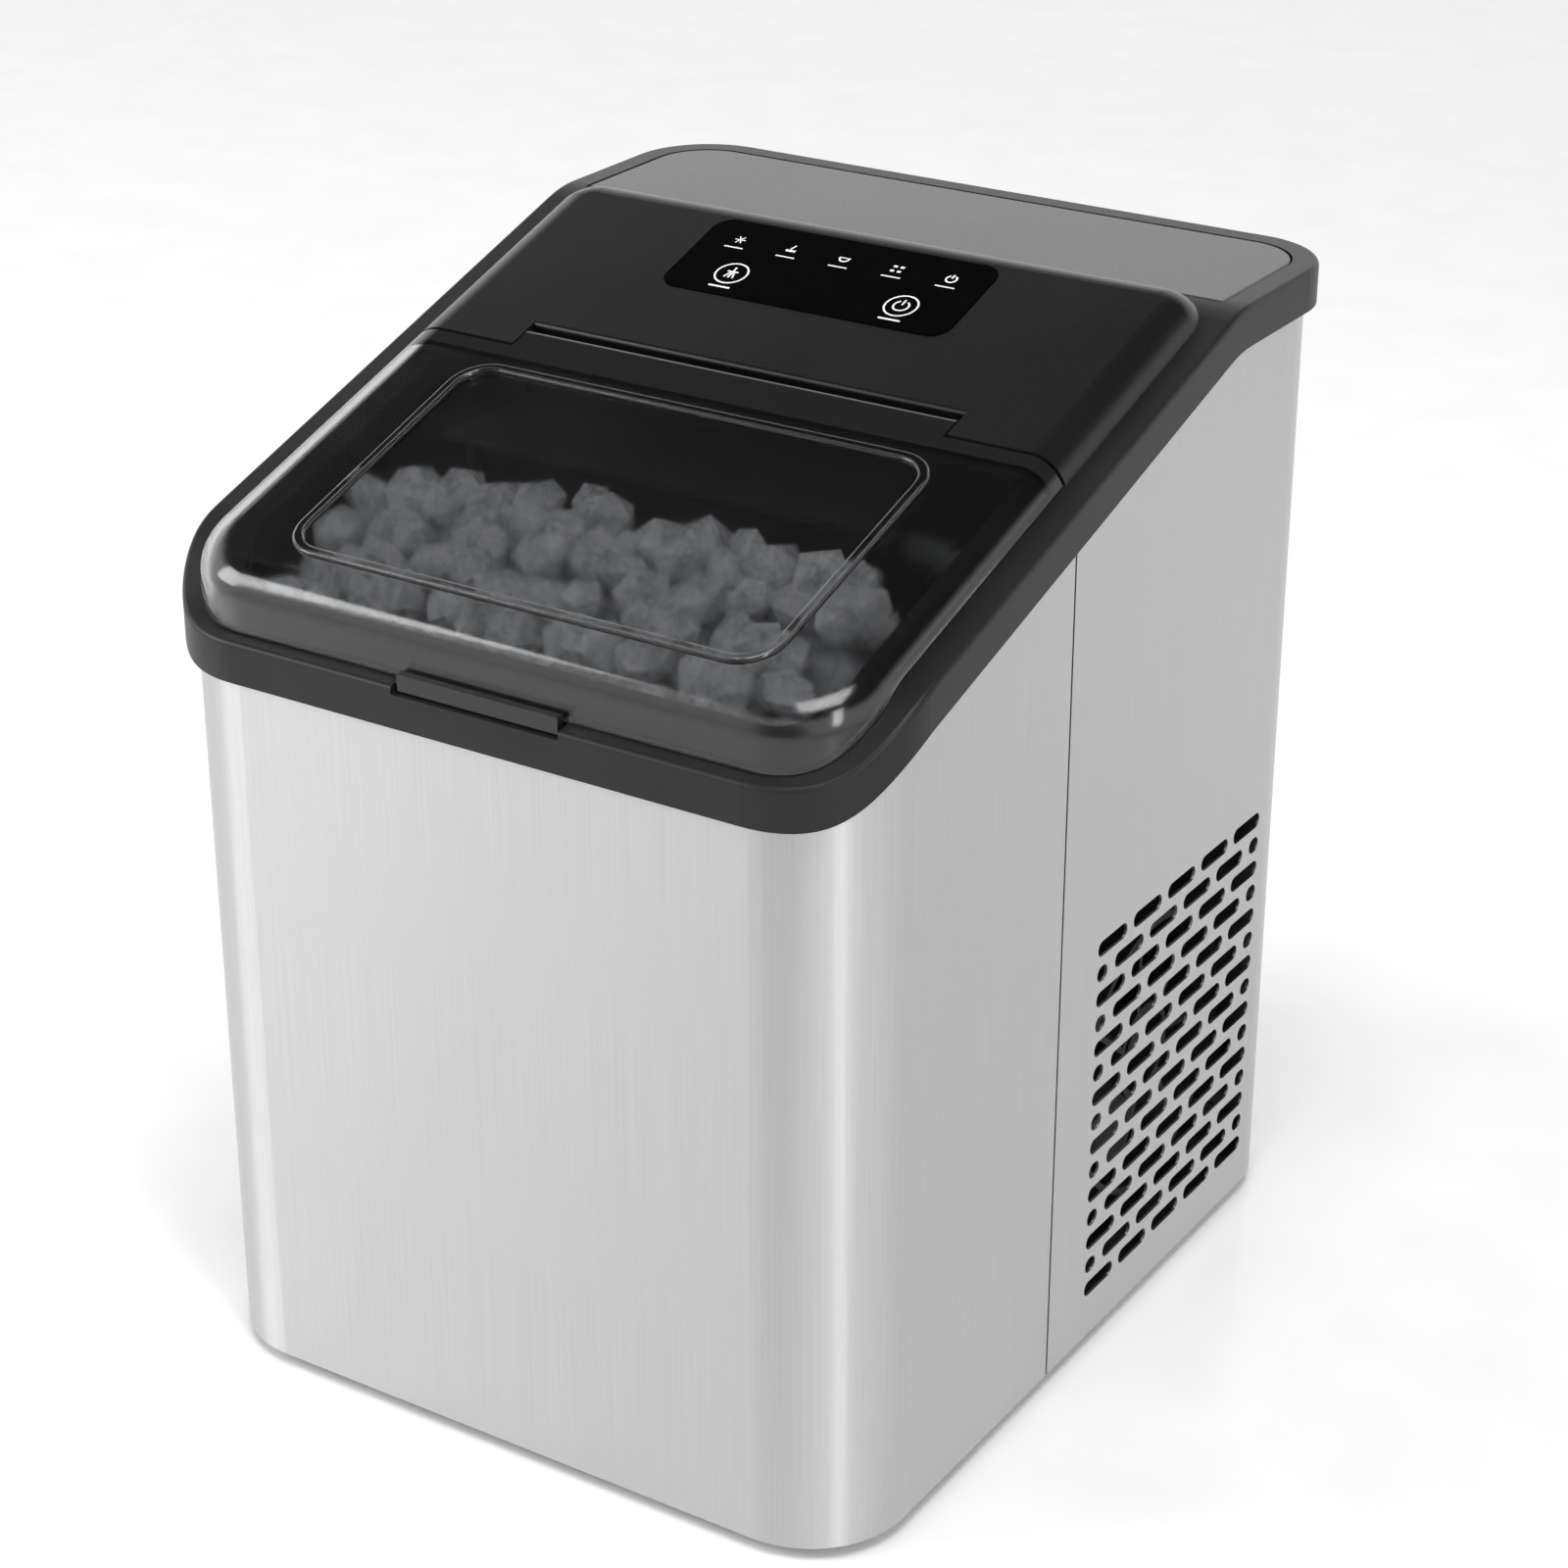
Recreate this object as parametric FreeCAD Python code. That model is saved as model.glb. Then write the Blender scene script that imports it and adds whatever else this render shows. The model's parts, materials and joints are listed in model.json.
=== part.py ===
import FreeCAD, Part
import math
import os

V = FreeCAD.Vector

# Countertop ice maker. Origin on the table under the centre, +X right, +Y to the back, +Z up, millimetres.

# Overall sizes
SHELL_W = 222.0            # steel cabinet, outside
SHELL_D = 260.0
SHELL_H = 286.2            # steel cabinet's visible height at the back, above its own bottom edge
FOOT_H = 4.0               # gap under the cabinet
SHEET = 0.8                # steel sheet
FRONT_R = 30.0             # cabinet's upright front corners
REAR_R = 22.0              # cabinet's upright rear corners
SLOPE = 0.311              # rise of the sloping top per unit of depth
FLAT_D = 64.4              # depth of the level part at the back
FRONT_DROP = 10.4          # the rim dips this far under the slope line along the front
DROP_LEN = 33.0            # depth over which the rim dips
KNEE_R = 40.0              # rim's bend from the slope to the level part
FIT = 0.2                  # clearance between fixed pieces

# Rim, lid and panel
BAND = 12.0                # height of the rim band
OVERHANG = 3.5             # rim outside the steel
RIM_FLANGE = 5.0           # thickness of the rim's inward flange
RIM_EDGE = 1.5             # rounding of the rim's top edge
RIM_INNER = 94.0           # half width of the rim's front mouth
LID_RISE = 7.2             # lid and panel top above the rim band
LID_INSET = 7.5            # lid and panel edge inside the rim's outer edge
LID_WALL = 2.4
LID_EDGE = 11.0            # rounding of the lid's and panel's top edges
LID_CORNER = 26.0
LID_GAP = 0.6              # closed lid above the rim
SEAM = 1.2                 # gap between the lid and the panel
TONGUE_HALF = 70.0         # half width of the lid's hinge tongue
TONGUE_L = 9.5             # tongue behind the lid's rear edge
BARREL_R = 3.0
PIN_R = 1.5
PIN_L = 12.0
RUN = 0.05                 # running clearance of pins and shafts in their holes
RIDGE_HALF = 77.0          # bead that outlines the lid's field, half its width
RIDGE_L = 92.0             # outlined field, front to back
RIDGE_BACK = 9.5           # bead ahead of the lid's rear edge
RIDGE_W = 3.4
RIDGE_H = 1.4
RIDGE_CORNER = 12.0
TAB_HALF = 25.5            # finger tab on the lid's front
TAB_REACH = 2.5            # tab ahead of the lid's front
TAB_H = 4.8
PANEL_D = 87.0             # control panel, front to back
PANEL_CORNER = 14.0
PANEL_WALL = 2.4
OVERLAY_W = 94.0           # glossy touch field
OVERLAY_L = 36.0
OVERLAY_T = 0.8
OVERLAY_R = 6.0
OVERLAY_Y = 54.5           # touch field's centre behind the panel's front edge
COVER_MARGIN = 8.0         # rear cover inside the rim's outer edge
COVER_T = 2.6
COVER_LEDGE = 5.0

# Ice tank and basket
BAY_D = 130.0              # machine bay, from the bulkhead to the cabinet's back
FOAM = 12.0                # insulation round the tank
TANK_WALL = 2.0
TANK_FLOOR = 46.0          # underside of the tank above the table
TANK_R = 18.0
CHAMBER_HALF = 78.0        # freezing chamber, half width outside
CHAMBER_D = 46.0           # chamber behind the tank's rear wall
BASKET_GAP = 8.0           # basket inside the tank
BASKET_D = 66.0
BASKET_H = 96.0
BASKET_WALL = 1.8
BASKET_TOP = 26.0          # basket's top under the rim line at its middle

# Freezing and harvesting
AXIS_BACK = 8.0            # tray shaft behind the bulkhead
AXIS_DROP = 53.5           # tray shaft under the sloping top
SHAFT_R = 3.0
TRAY_HALF = 62.0
TRAY_FRONT = 46.0          # tray's front face before the shaft
TRAY_BOTTOM = 36.0         # tray's underside below the shaft
TRAY_TOP = 6.0             # tray's edge below the shaft
TRAY_WALL = 1.6
FINGER_R = 4.5
FINGER_END = 22.0          # finger tips below the shaft
FINGER_PITCH = 24.0
ROW_FRONT = 32.0           # finger rows before the shaft
ROW_REAR = 18.0
PLATE_UP = 12.0            # freezing plate above the shaft
PLATE_T = 3.0
EVAP_R = 4.5
PUSHER_FRONT = 54.0        # pusher's axis before the tray shaft
PUSHER_UP = 24.0
PUSHER_LEN = 42.0
PUSHER_HALF = 58.0
PUSHER_R = 2.0
MOTOR_W = 24.0
MOTOR_H = 36.0

# Machine bay
COMP_R = 43.0
COMP_H = 118.0
COMP_WALL = 3.0
COMP_LIFT = 12.0           # compressor above the base pan
FAN_R = 40.0
FAN_BLADES = 7
FAN_HUB_R = 15.0
FAN_L = 14.0
FAN_X = 20.0               # fan's middle inside the cabinet's right wall
SHROUD_T = 20.0
COND_T = 26.0
COND_H = 116.0
COND_L = 92.0
FINS = 26
FIN_T = 0.5
COIL_R = 3.2
COIL_ROWS = 5
VENT_ROWS = 15
VENT_PITCH_Z = 8.02
VENT_PITCH_Y = 21.2
VENT_L = 17.3
VENT_H = 4.8
VENT_DOT = 6.0
VENT_LOW = 16.3            # lowest vent row above the cabinet's bottom edge
VENT_BACK = 26.0           # end of the vent field before the cabinet's back
BOARD_T = 1.6
INLET_W = 27.5
INLET_H = 19.5
INLET_D = 20.0
INLET_X = -66.0
INLET_Z = 40.0
PUMP_R = 17.0
PUMP_H = 24.0
DRAIN_Z = 26.0
DRAIN_Y = 40.0             # drain outlet behind the cabinet's front
DRAIN_R = 6.0
SCREW_R = 1.6
HEAD_R = 3.4
HEAD_T = 1.8

# Worked-out positions
FRONT_Y = -SHELL_D / 2
BACK_Y = SHELL_D / 2
HALF_W = SHELL_W / 2
RIM_Z = FOOT_H + SHELL_H
FLAT_Y = BACK_Y - FLAT_D
TILT = math.atan(SLOPE)
BULK_Y = BACK_Y - BAY_D
LID_REAR = BULK_Y - 19.5
LID_HALF = HALF_W + OVERHANG - LID_INSET
LID_FRONT = FRONT_Y - OVERHANG + 4.0
PANEL_FRONT = LID_REAR + SEAM
PANEL_BACK = PANEL_FRONT + PANEL_D
RIM_W = HALF_W + OVERHANG
TANK_HALF = HALF_W - SHEET - FOAM
TANK_FRONT = FRONT_Y + SHEET + FOAM - 3.0
TANK_REAR = BULK_Y - 4.0
PAN_Z = FOOT_H + 0.6
PAN_T = 1.2
FLOOR_Z = PAN_Z + PAN_T
FAR = 500.0
TOL = 0.01


def box(x0, x1, y0, y1, z0, z1):
    return Part.makeBox(x1 - x0, y1 - y0, z1 - z0, V(x0, y0, z0))


def block(x0, x1, y0, y1, z0, z1, r_front=0.0, r_rear=0.0):
    """Box with upright edges rounded at the front and at the rear."""
    solid = box(x0, x1, y0, y1, z0, z1)
    for radius, y in ((r_front, y0), (r_rear, y1)):
        if radius > 0:
            upright = [e for e in solid.Edges if e.BoundBox.ZLength > TOL and e.BoundBox.XLength < TOL
                       and e.BoundBox.YLength < TOL and abs(e.CenterOfMass.y - y) < TOL]
            solid = solid.makeFillet(radius, upright)
    return solid


def rod(x, y, z, axis, radius, length):
    direction = {"x": V(1, 0, 0), "y": V(0, 1, 0), "z": V(0, 0, 1)}[axis]
    return Part.makeCylinder(radius, length, V(x, y, z), direction)


def mirrored(shape):
    return shape.mirror(V(0, 0, 0), V(1, 0, 0))


def join(*shapes):
    shapes = list(shapes)
    return shapes[0].fuse(shapes[1:]).removeSplitter() if len(shapes) > 1 else shapes[0]


def rim_line(y):
    """Height of the rim's lower edge on the slope."""
    return RIM_Z + SLOPE * (y - FLAT_Y)


def top_z(y):
    """Height of the lid's and panel's top plane."""
    return rim_line(y) + BAND + LID_RISE


def side_extrusion(edges):
    face = Part.Face(Part.Wire(edges))
    solid = face.extrude(V(2 * FAR, 0, 0))
    return solid


def line(a, b):
    return Part.makeLine(V(-FAR, a[0], a[1]), V(-FAR, b[0], b[1]))


def under_rim(offset):
    """Everything below the rim's lower edge raised by offset."""
    low = rim_line(FRONT_Y) - FRONT_DROP + offset
    start = (FRONT_Y - OVERHANG - 0.5, low)
    end_y = FRONT_Y + DROP_LEN
    end = (end_y, rim_line(end_y) + offset)
    curve = Part.BezierCurve()
    pull_a = 13.0
    pull_b = 18.0
    poles = [start, (start[0] + pull_a, low), (end[0] - pull_b, end[1] - SLOPE * pull_b), end]
    curve.setPoles([V(-FAR, p[0], p[1]) for p in poles])
    reach = KNEE_R * math.tan(TILT / 2)
    knee_a = (FLAT_Y - reach * math.cos(TILT), RIM_Z + offset - reach * math.sin(TILT))
    knee_b = (FLAT_Y + reach, RIM_Z + offset)
    half = TILT / 2
    centre = (knee_b[0], knee_b[1] - KNEE_R)
    middle = (centre[0] - KNEE_R * math.sin(half), centre[1] + KNEE_R * math.cos(half))
    arc = Part.Arc(*[V(-FAR, p[0], p[1]) for p in (knee_a, middle, knee_b)])
    front_end = (FRONT_Y - 40.0, low)
    back_end = (BACK_Y + 40.0, RIM_Z + offset)
    edges = [line(front_end, start), curve.toShape(), line(end, knee_a), arc.toShape(),
             line(knee_b, back_end), line(back_end, (back_end[0], -40.0)),
             line((back_end[0], -40.0), (front_end[0], -40.0)), line((front_end[0], -40.0), front_end)]
    return side_extrusion(edges)


def under_top(inset):
    """Everything below the sloping top plane lowered by inset."""
    drop = inset / math.cos(TILT)
    y0 = FRONT_Y - 40.0
    y1 = BACK_Y + 40.0
    pts = [(y0, top_z(y0) - drop), (y1, top_z(y1) - drop), (y1, -40.0), (y0, -40.0)]
    return side_extrusion([line(pts[i], pts[(i + 1) % 4]) for i in range(4)])


def on_slope(shape, y):
    """Places a shape drawn flat, with its origin on the top plane at depth y."""
    shape = shape.copy()
    shape.rotate(V(0, 0, 0), V(1, 0, 0), math.degrees(TILT))
    shape.translate(V(0, y, top_z(y)))
    return shape


def tube(points, radius, bend):
    """Round bar along straight runs joined by tangent arcs."""
    pts = [V(*p) for p in points]
    pieces = []
    start = pts[0]
    for i in range(1, len(pts)):
        direction = (pts[i] - pts[i - 1]).normalize()
        stop = pts[i]
        if i < len(pts) - 1:
            leaving = (pts[i + 1] - pts[i]).normalize()
            turn = direction.getAngle(leaving)
            trim = bend * math.tan(turn / 2)
            stop = pts[i] - direction * trim
        pieces.append(Part.makeCylinder(radius, (stop - start).Length, start, direction))
        if i < len(pts) - 1:
            normal = direction.cross(leaving).normalize()
            centre = stop + normal.cross(direction) * bend
            disc = Part.Face(Part.Wire(Part.makeCircle(radius, stop, direction)))
            pieces.append(disc.revolve(centre, normal, math.degrees(turn)))
            start = pts[i] + leaving * trim
    return pieces[0].fuse(pieces[1:]).removeSplitter()


def screw(x, y, z, length):
    """Pan-head screw driven towards the front."""
    head = rod(x, y, z, "y", HEAD_R, HEAD_T)
    rim = [e for e in head.Edges if e.BoundBox.YLength < TOL and abs(e.CenterOfMass.y - y - HEAD_T) < TOL]
    head = head.makeFillet(HEAD_T * 0.6, rim)
    deep = y + HEAD_T - 1.0
    cross = [box(x - 1.9, x + 1.9, deep, y + HEAD_T, z - 0.4, z + 0.4),
             box(x - 0.4, x + 0.4, deep, y + HEAD_T, z - 1.9, z + 1.9)]
    return join(head.cut(cross), rod(x, y - length, z, "y", SCREW_R, length))


# ---- cabinet -------------------------------------------------------------------------------------

REAR_SCREWS = [(sx * (HALF_W - 26.0), z) for sx in (-1, 1) for z in (FOOT_H + 7.5, 0.5 * RIM_Z, RIM_Z - 22.0)]
SEAM_Y = BULK_Y - 20.0
SEAM_GROOVE = 0.8
SEAM_RETURN = 6.0


def cabinet():
    outer = block(-HALF_W, HALF_W, FRONT_Y, BACK_Y, FOOT_H, FAR, FRONT_R, REAR_R)
    inner = block(-HALF_W + SHEET, HALF_W - SHEET, FRONT_Y + SHEET, BACK_Y - SHEET, 0, FAR + 1,
                  FRONT_R - SHEET, REAR_R - SHEET)
    return outer.cut(inner).common(under_rim(BAND - RIM_FLANGE - FIT))


def vent_cutters():
    cutters = []
    first = BACK_Y - VENT_BACK - 4 * VENT_PITCH_Y - VENT_L
    last = BACK_Y - VENT_BACK
    for row in range(VENT_ROWS):
        z = FOOT_H + VENT_LOW + row * VENT_PITCH_Z
        if row % 2 == 0:
            spans = [(first + k * VENT_PITCH_Y, VENT_L) for k in range(5)]
        else:
            spans = [(first + (k + 0.5) * VENT_PITCH_Y, VENT_L) for k in range(4)]
            spans += [(first, VENT_DOT), (last - VENT_DOT, VENT_DOT)]
        for y, length in spans:
            r = VENT_H / 2
            a, b = V(-FAR, y + r, z - r), V(-FAR, y + length - r, z - r)
            c, d = V(-FAR, y + length - r, z + r), V(-FAR, y + r, z + r)
            right = Part.Arc(b, V(-FAR, y + length, z), c).toShape()
            left = Part.Arc(d, V(-FAR, y, z), a).toShape()
            wire = Part.Wire([Part.makeLine(a, b), right, Part.makeLine(c, d), left])
            cutters.append(Part.Face(wire).extrude(V(2 * FAR, 0, 0)))
    return cutters


def wraps():
    shell = cabinet()
    groove = SEAM_GROOVE / 2
    front = shell.common(box(-FAR, FAR, -FAR, SEAM_Y - groove, 0, FAR))
    rear = shell.common(box(-FAR, FAR, SEAM_Y + groove, FAR, 0, FAR))
    top = under_rim(BAND - RIM_FLANGE - FIT)
    for side in (-1, 1):
        x = sorted((side * (HALF_W - SHEET), side * (HALF_W - SHEET - SEAM_RETURN)))
        flange_a = box(x[0], x[1], SEAM_Y - groove - SHEET, SEAM_Y - groove, FOOT_H + 14.0, FAR)
        flange_b = box(x[0], x[1], SEAM_Y + groove, SEAM_Y + groove + SHEET, FOOT_H + 14.0, FAR)
        front = front.fuse(flange_a.common(top))
        rear = rear.fuse(flange_b.common(top))
    drain = rod(-HALF_W - 5, FRONT_Y + DRAIN_Y, DRAIN_Z, "x", DRAIN_R + 3.2, 10)
    front = front.cut(drain).removeSplitter()
    rear = rear.cut(vent_cutters())
    rear = rear.cut([rod(x, BACK_Y - 5, z, "y", SCREW_R + RUN, 10) for x, z in REAR_SCREWS])
    cut = box(INLET_X - INLET_W / 2 - FIT, INLET_X + INLET_W / 2 + FIT, BACK_Y - 5, BACK_Y + 5,
              INLET_Z - INLET_H / 2 - FIT, INLET_Z + INLET_H / 2 + FIT)
    return front, rear.cut(cut).removeSplitter()


FEET = [(sx * (HALF_W - 27.0), y) for sx in (-1, 1) for y in (FRONT_Y + 30.0, BACK_Y - 30.0)]
FOOT_R = 9.0
STEM_R = 3.0
PAN_UP = 10.0
PAN_WALL = 1.2
COMP_X = -HALF_W + SHEET + 14.0 + COMP_R
COMP_Y = BULK_Y + 16.0 + COMP_R
COMP_BOLTS = [(COMP_X + 40.0 * math.cos(a), COMP_Y + 40.0 * math.sin(a))
              for a in [math.radians(k * 120.0 + 45.0) for k in range(3)]]


def base_pan():
    gap = SHEET + FIT
    out = block(-HALF_W + gap, HALF_W - gap, FRONT_Y + gap, BACK_Y - gap, PAN_Z, PAN_Z + PAN_UP,
                FRONT_R - gap, REAR_R - gap)
    gap += PAN_WALL
    hollow = block(-HALF_W + gap, HALF_W - gap, FRONT_Y + gap, BACK_Y - gap, FLOOR_Z, PAN_Z + PAN_UP + 1,
                   FRONT_R - gap, REAR_R - gap)
    pan = out.cut(hollow)
    pan = pan.cut([rod(x, y, 0, "z", STEM_R, 20) for x, y in FEET])
    pan = pan.cut([rod(x, BACK_Y - 8, z, "y", SCREW_R + RUN, 10) for x, z in REAR_SCREWS])
    studs = [rod(x, y, FLOOR_Z - 0.5, "z", 2.0, COMP_LIFT + 6.0) for x, y in COMP_BOLTS]
    return join(pan, *studs)


def rubber_feet():
    feet = []
    for x, y in FEET:
        pad = rod(x, y, 0, "z", FOOT_R, PAN_Z)
        barb = Part.makeCone(STEM_R + 1.5, STEM_R, 3.0, V(x, y, FLOOR_Z))
        feet.append(join(pad, rod(x, y, 0, "z", STEM_R, FLOOR_Z + 1), barb))
    return Part.makeCompound(feet)


# ---- rim, covers and lid -------------------------------------------------------------------------

COVER_HALF = RIM_W - COVER_MARGIN
COVER_BACK = BACK_Y + OVERHANG - COVER_MARGIN
COVER_FRONT = PANEL_BACK + 0.3
COVER_R = REAR_R + OVERHANG - COVER_MARGIN
RIM_TOP = RIM_Z + BAND


def top_bezel():
    outer = block(-RIM_W, RIM_W, FRONT_Y - OVERHANG, BACK_Y + OVERHANG, FOOT_H, FAR,
                  FRONT_R + OVERHANG, REAR_R + OVERHANG)
    band = outer.common(under_rim(BAND)).cut(under_rim(0))
    room = FIT / 2
    body = block(-HALF_W - room, HALF_W + room, FRONT_Y - room, BACK_Y + room, 0, FAR, FRONT_R, REAR_R)
    band = band.cut(body.common(under_rim(BAND - RIM_FLANGE)))
    mouth = block(-RIM_INNER, RIM_INNER, TANK_FRONT + 3.0, BULK_Y + CHAMBER_D - 4.0, 0, FAR, 16.0, 4.0)
    inset = COVER_LEDGE
    bay = block(-COVER_HALF + inset, COVER_HALF - inset, PANEL_BACK + 4.0, COVER_BACK - inset, 0, FAR,
                3.0, COVER_R - inset)
    seat = block(-COVER_HALF - 0.5, COVER_HALF + 0.5, COVER_FRONT - 0.5, COVER_BACK + 0.5,
                 RIM_TOP - COVER_T, FAR, 0, COVER_R + 0.5)
    notch = box(-TAB_HALF - 1.0, TAB_HALF + 1.0, -FAR, LID_FRONT + 6.0,
                rim_line(FRONT_Y) - FRONT_DROP + BAND - 2.4, FAR)
    window = box(-OVERLAY_W / 2 - 6.0, OVERLAY_W / 2 + 6.0, BULK_Y, PANEL_BACK - 4.0, 0, FAR)
    bezel = band.cut([mouth, bay, seat, notch, window]).removeSplitter()
    return bezel.makeFillet(RIM_EDGE, shared_edges(bezel, outer, under_rim(BAND)))


def shared_edges(shape, wall, cap):
    """Edges of shape that lie both on wall's upright faces and on cap's upper faces."""
    walls = [f for f in wall.Faces if f.BoundBox.ZLength > 50.0]
    tops = [f for f in cap.Faces if f.BoundBox.XLength > FAR and f.BoundBox.ZMin > TANK_FLOOR]
    found = []
    for edge in shape.Edges:
        span = edge.LastParameter - edge.FirstParameter
        points = [Part.Vertex(edge.valueAt(edge.FirstParameter + span * t)) for t in (0.1, 0.5, 0.9)]
        if all(min(p.distToShape(f)[0] for f in group) < TOL for p in points for group in (walls, tops)):
            found.append(edge)
    return found


def rear_top_cover():
    plate = block(-COVER_HALF, COVER_HALF, COVER_FRONT, COVER_BACK, RIM_TOP - COVER_T, RIM_TOP, 0, COVER_R)
    edge = [e for e in plate.Edges if abs(e.BoundBox.ZMin - RIM_TOP) < TOL and e.BoundBox.ZLength < TOL]
    return plate.makeFillet(0.8, edge)


def slope_cap(y0, y1, inset, r_front, r_rear, round_front, round_rear):
    """Block under the sloping top with its top edges rounded."""
    half = LID_HALF - inset
    solid = block(-half, half, y0, y1, 150.0, FAR, r_front, r_rear).common(under_top(inset))
    radius = LID_EDGE - inset
    chosen = []
    for e in solid.Edges:
        p = e.valueAt((e.FirstParameter + e.LastParameter) / 2)
        if abs(p.z - (top_z(p.y) - inset / math.cos(TILT))) > TOL:
            continue
        if p.y < y0 + TOL and not round_front or p.y > y1 - TOL and not round_rear:
            continue
        chosen.append(e)
    return solid.makeFillet(radius, chosen)


HINGE_Y = LID_REAR + TONGUE_L - BARREL_R
AXIS = on_slope(Part.makeLine(V(0, 0, -BARREL_R), V(1, 0, -BARREL_R)), HINGE_Y).Vertexes[0].Point


def lid():
    shell = slope_cap(LID_FRONT, LID_REAR, 0.0, LID_CORNER, 0.0, True, False)
    shell = shell.cut(under_rim(BAND + LID_GAP))
    hollow = slope_cap(LID_FRONT + LID_WALL, LID_REAR - LID_WALL, LID_WALL, LID_CORNER - LID_WALL, 0.0,
                       True, False)
    shell = shell.cut(hollow)
    length = TONGUE_L - BARREL_R
    tongue = box(-TONGUE_HALF, TONGUE_HALF, -length - LID_WALL, 0, -LID_WALL, 0)
    barrel = rod(-TONGUE_HALF, 0, -BARREL_R, "x", BARREL_R, 2 * TONGUE_HALF)
    tongue = on_slope(join(tongue, barrel), HINGE_Y)
    low = rim_line(FRONT_Y) - FRONT_DROP + BAND - 1.8
    tab = box(-TAB_HALF, TAB_HALF, LID_FRONT - TAB_REACH, LID_FRONT + LID_WALL, low, low + TAB_H)
    body = join(shell, tongue, field_bead(), tab)
    pins = [rod(side, AXIS.y, AXIS.z, "x", PIN_R, PIN_L / 2)
            for side in (-TONGUE_HALF, TONGUE_HALF - PIN_L / 2)]
    return body.cut(pins)


def field_bead():
    """Rounded bead standing on the lid around its middle field."""
    outer = block(-RIDGE_HALF, RIDGE_HALF, -RIDGE_L, 0, -0.5, RIDGE_H, RIDGE_CORNER, RIDGE_CORNER)
    half = RIDGE_HALF - RIDGE_W
    corner = RIDGE_CORNER - RIDGE_W
    ring = outer.cut(block(-half, half, -RIDGE_L + RIDGE_W, -RIDGE_W, -1.0, RIDGE_H + 1.0, corner, corner))
    crest = [e for e in ring.Edges if e.BoundBox.ZMin > RIDGE_H - TOL]
    return on_slope(ring.makeFillet(0.8 * RIDGE_H, crest), LID_REAR - RIDGE_BACK)


def lid_hinge_pins():
    start = TONGUE_HALF - PIN_L / 2
    pin = rod(start, AXIS.y, AXIS.z, "x", PIN_R, PIN_L)
    return Part.makeCompound([pin, mirrored(pin)])


OVERLAY_MID = PANEL_FRONT + OVERLAY_Y


def control_panel_cover():
    cap = slope_cap(PANEL_FRONT, PANEL_BACK, 0.0, 0.0, PANEL_CORNER, False, True)
    hollow = slope_cap(PANEL_FRONT + PANEL_WALL, PANEL_BACK - PANEL_WALL, PANEL_WALL, 0.0,
                       PANEL_CORNER - PANEL_WALL, False, True)
    cap = cap.cut(under_rim(BAND)).cut(hollow)
    gap = TONGUE_L + SEAM - (PANEL_FRONT - LID_REAR)
    half = TONGUE_HALF + 0.6
    web_y = gap / math.cos(TILT) + 0.3
    notch = box(-half, half, -20.0, web_y, -30.0, 5.0)
    web = box(-half, half, web_y, web_y + PANEL_WALL, -LID_RISE, -1.6)
    cap = join(cap.cut(on_slope(notch, PANEL_FRONT)), on_slope(web, PANEL_FRONT))
    edge_y = PANEL_FRONT + gap + 0.3 * math.cos(TILT)
    for side in (-1, 1):
        x = sorted((side * (TONGUE_HALF + 0.6), side * (TONGUE_HALF + 8.0)))
        ear = box(x[0], x[1], -BARREL_R - 1.5, gap + BARREL_R, -2 * BARREL_R - 1.0, -1.0)
        cap = cap.fuse(on_slope(ear, HINGE_Y))
    cap = cap.cut(rod(-TONGUE_HALF - 7.5, AXIS.y, AXIS.z, "x", PIN_R + RUN, 2 * TONGUE_HALF + 15.0))
    seat = block(-OVERLAY_W / 2 - FIT, OVERLAY_W / 2 + FIT, -OVERLAY_L / 2 - FIT, OVERLAY_L / 2 + FIT,
                 -OVERLAY_T + 0.2, 5, OVERLAY_R, OVERLAY_R)
    cap = cap.cut(on_slope(seat, OVERLAY_MID)).removeSplitter()
    nose = [e for e in cap.Edges if abs(e.CenterOfMass.y - edge_y) < 0.4 and e.BoundBox.XLength > TONGUE_HALF
            and abs(e.CenterOfMass.z - top_z(edge_y)) < 0.4]
    return cap.makeFillet(1.4, nose)


def touch_panel_overlay():
    plate = block(-OVERLAY_W / 2, OVERLAY_W / 2, -OVERLAY_L / 2, OVERLAY_L / 2, -OVERLAY_T + 0.2, 0.2,
                  OVERLAY_R, OVERLAY_R)
    return on_slope(plate, OVERLAY_MID)


DISPLAY_DEEP = 9.0
TOUCH_X = 28.0
TOUCH_Y = -8.0


def display_board():
    top = -DISPLAY_DEEP
    board = box(-OVERLAY_W / 2, OVERLAY_W / 2, -OVERLAY_L / 2, OVERLAY_L / 2, top - BOARD_T, top)
    posts = [rod(sx * (OVERLAY_W / 2 - 5.0), sy * (OVERLAY_L / 2 - 7.0), top, "z", 2.2,
                 DISPLAY_DEEP - PANEL_WALL) for sx in (-1, 1) for sy in (-1, 1)]
    lights = [box(17.5 * k - 1.5, 17.5 * k + 1.5, 6.5, 9.5, top, top + 1.5) for k in range(-2, 3)]
    return on_slope(join(board, *posts, *lights), OVERLAY_MID)


def touch_springs():
    springs = []
    for x in (-TOUCH_X, TOUCH_X):
        outer = rod(x, TOUCH_Y, -DISPLAY_DEEP, "z", 4.0, DISPLAY_DEEP - PANEL_WALL)
        springs.append(on_slope(outer.cut(rod(x, TOUCH_Y, -DISPLAY_DEEP, "z", 3.2, 20.0)), OVERLAY_MID))
    return Part.makeCompound(springs)


# ---- tank and basket -----------------------------------------------------------------------------

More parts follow.
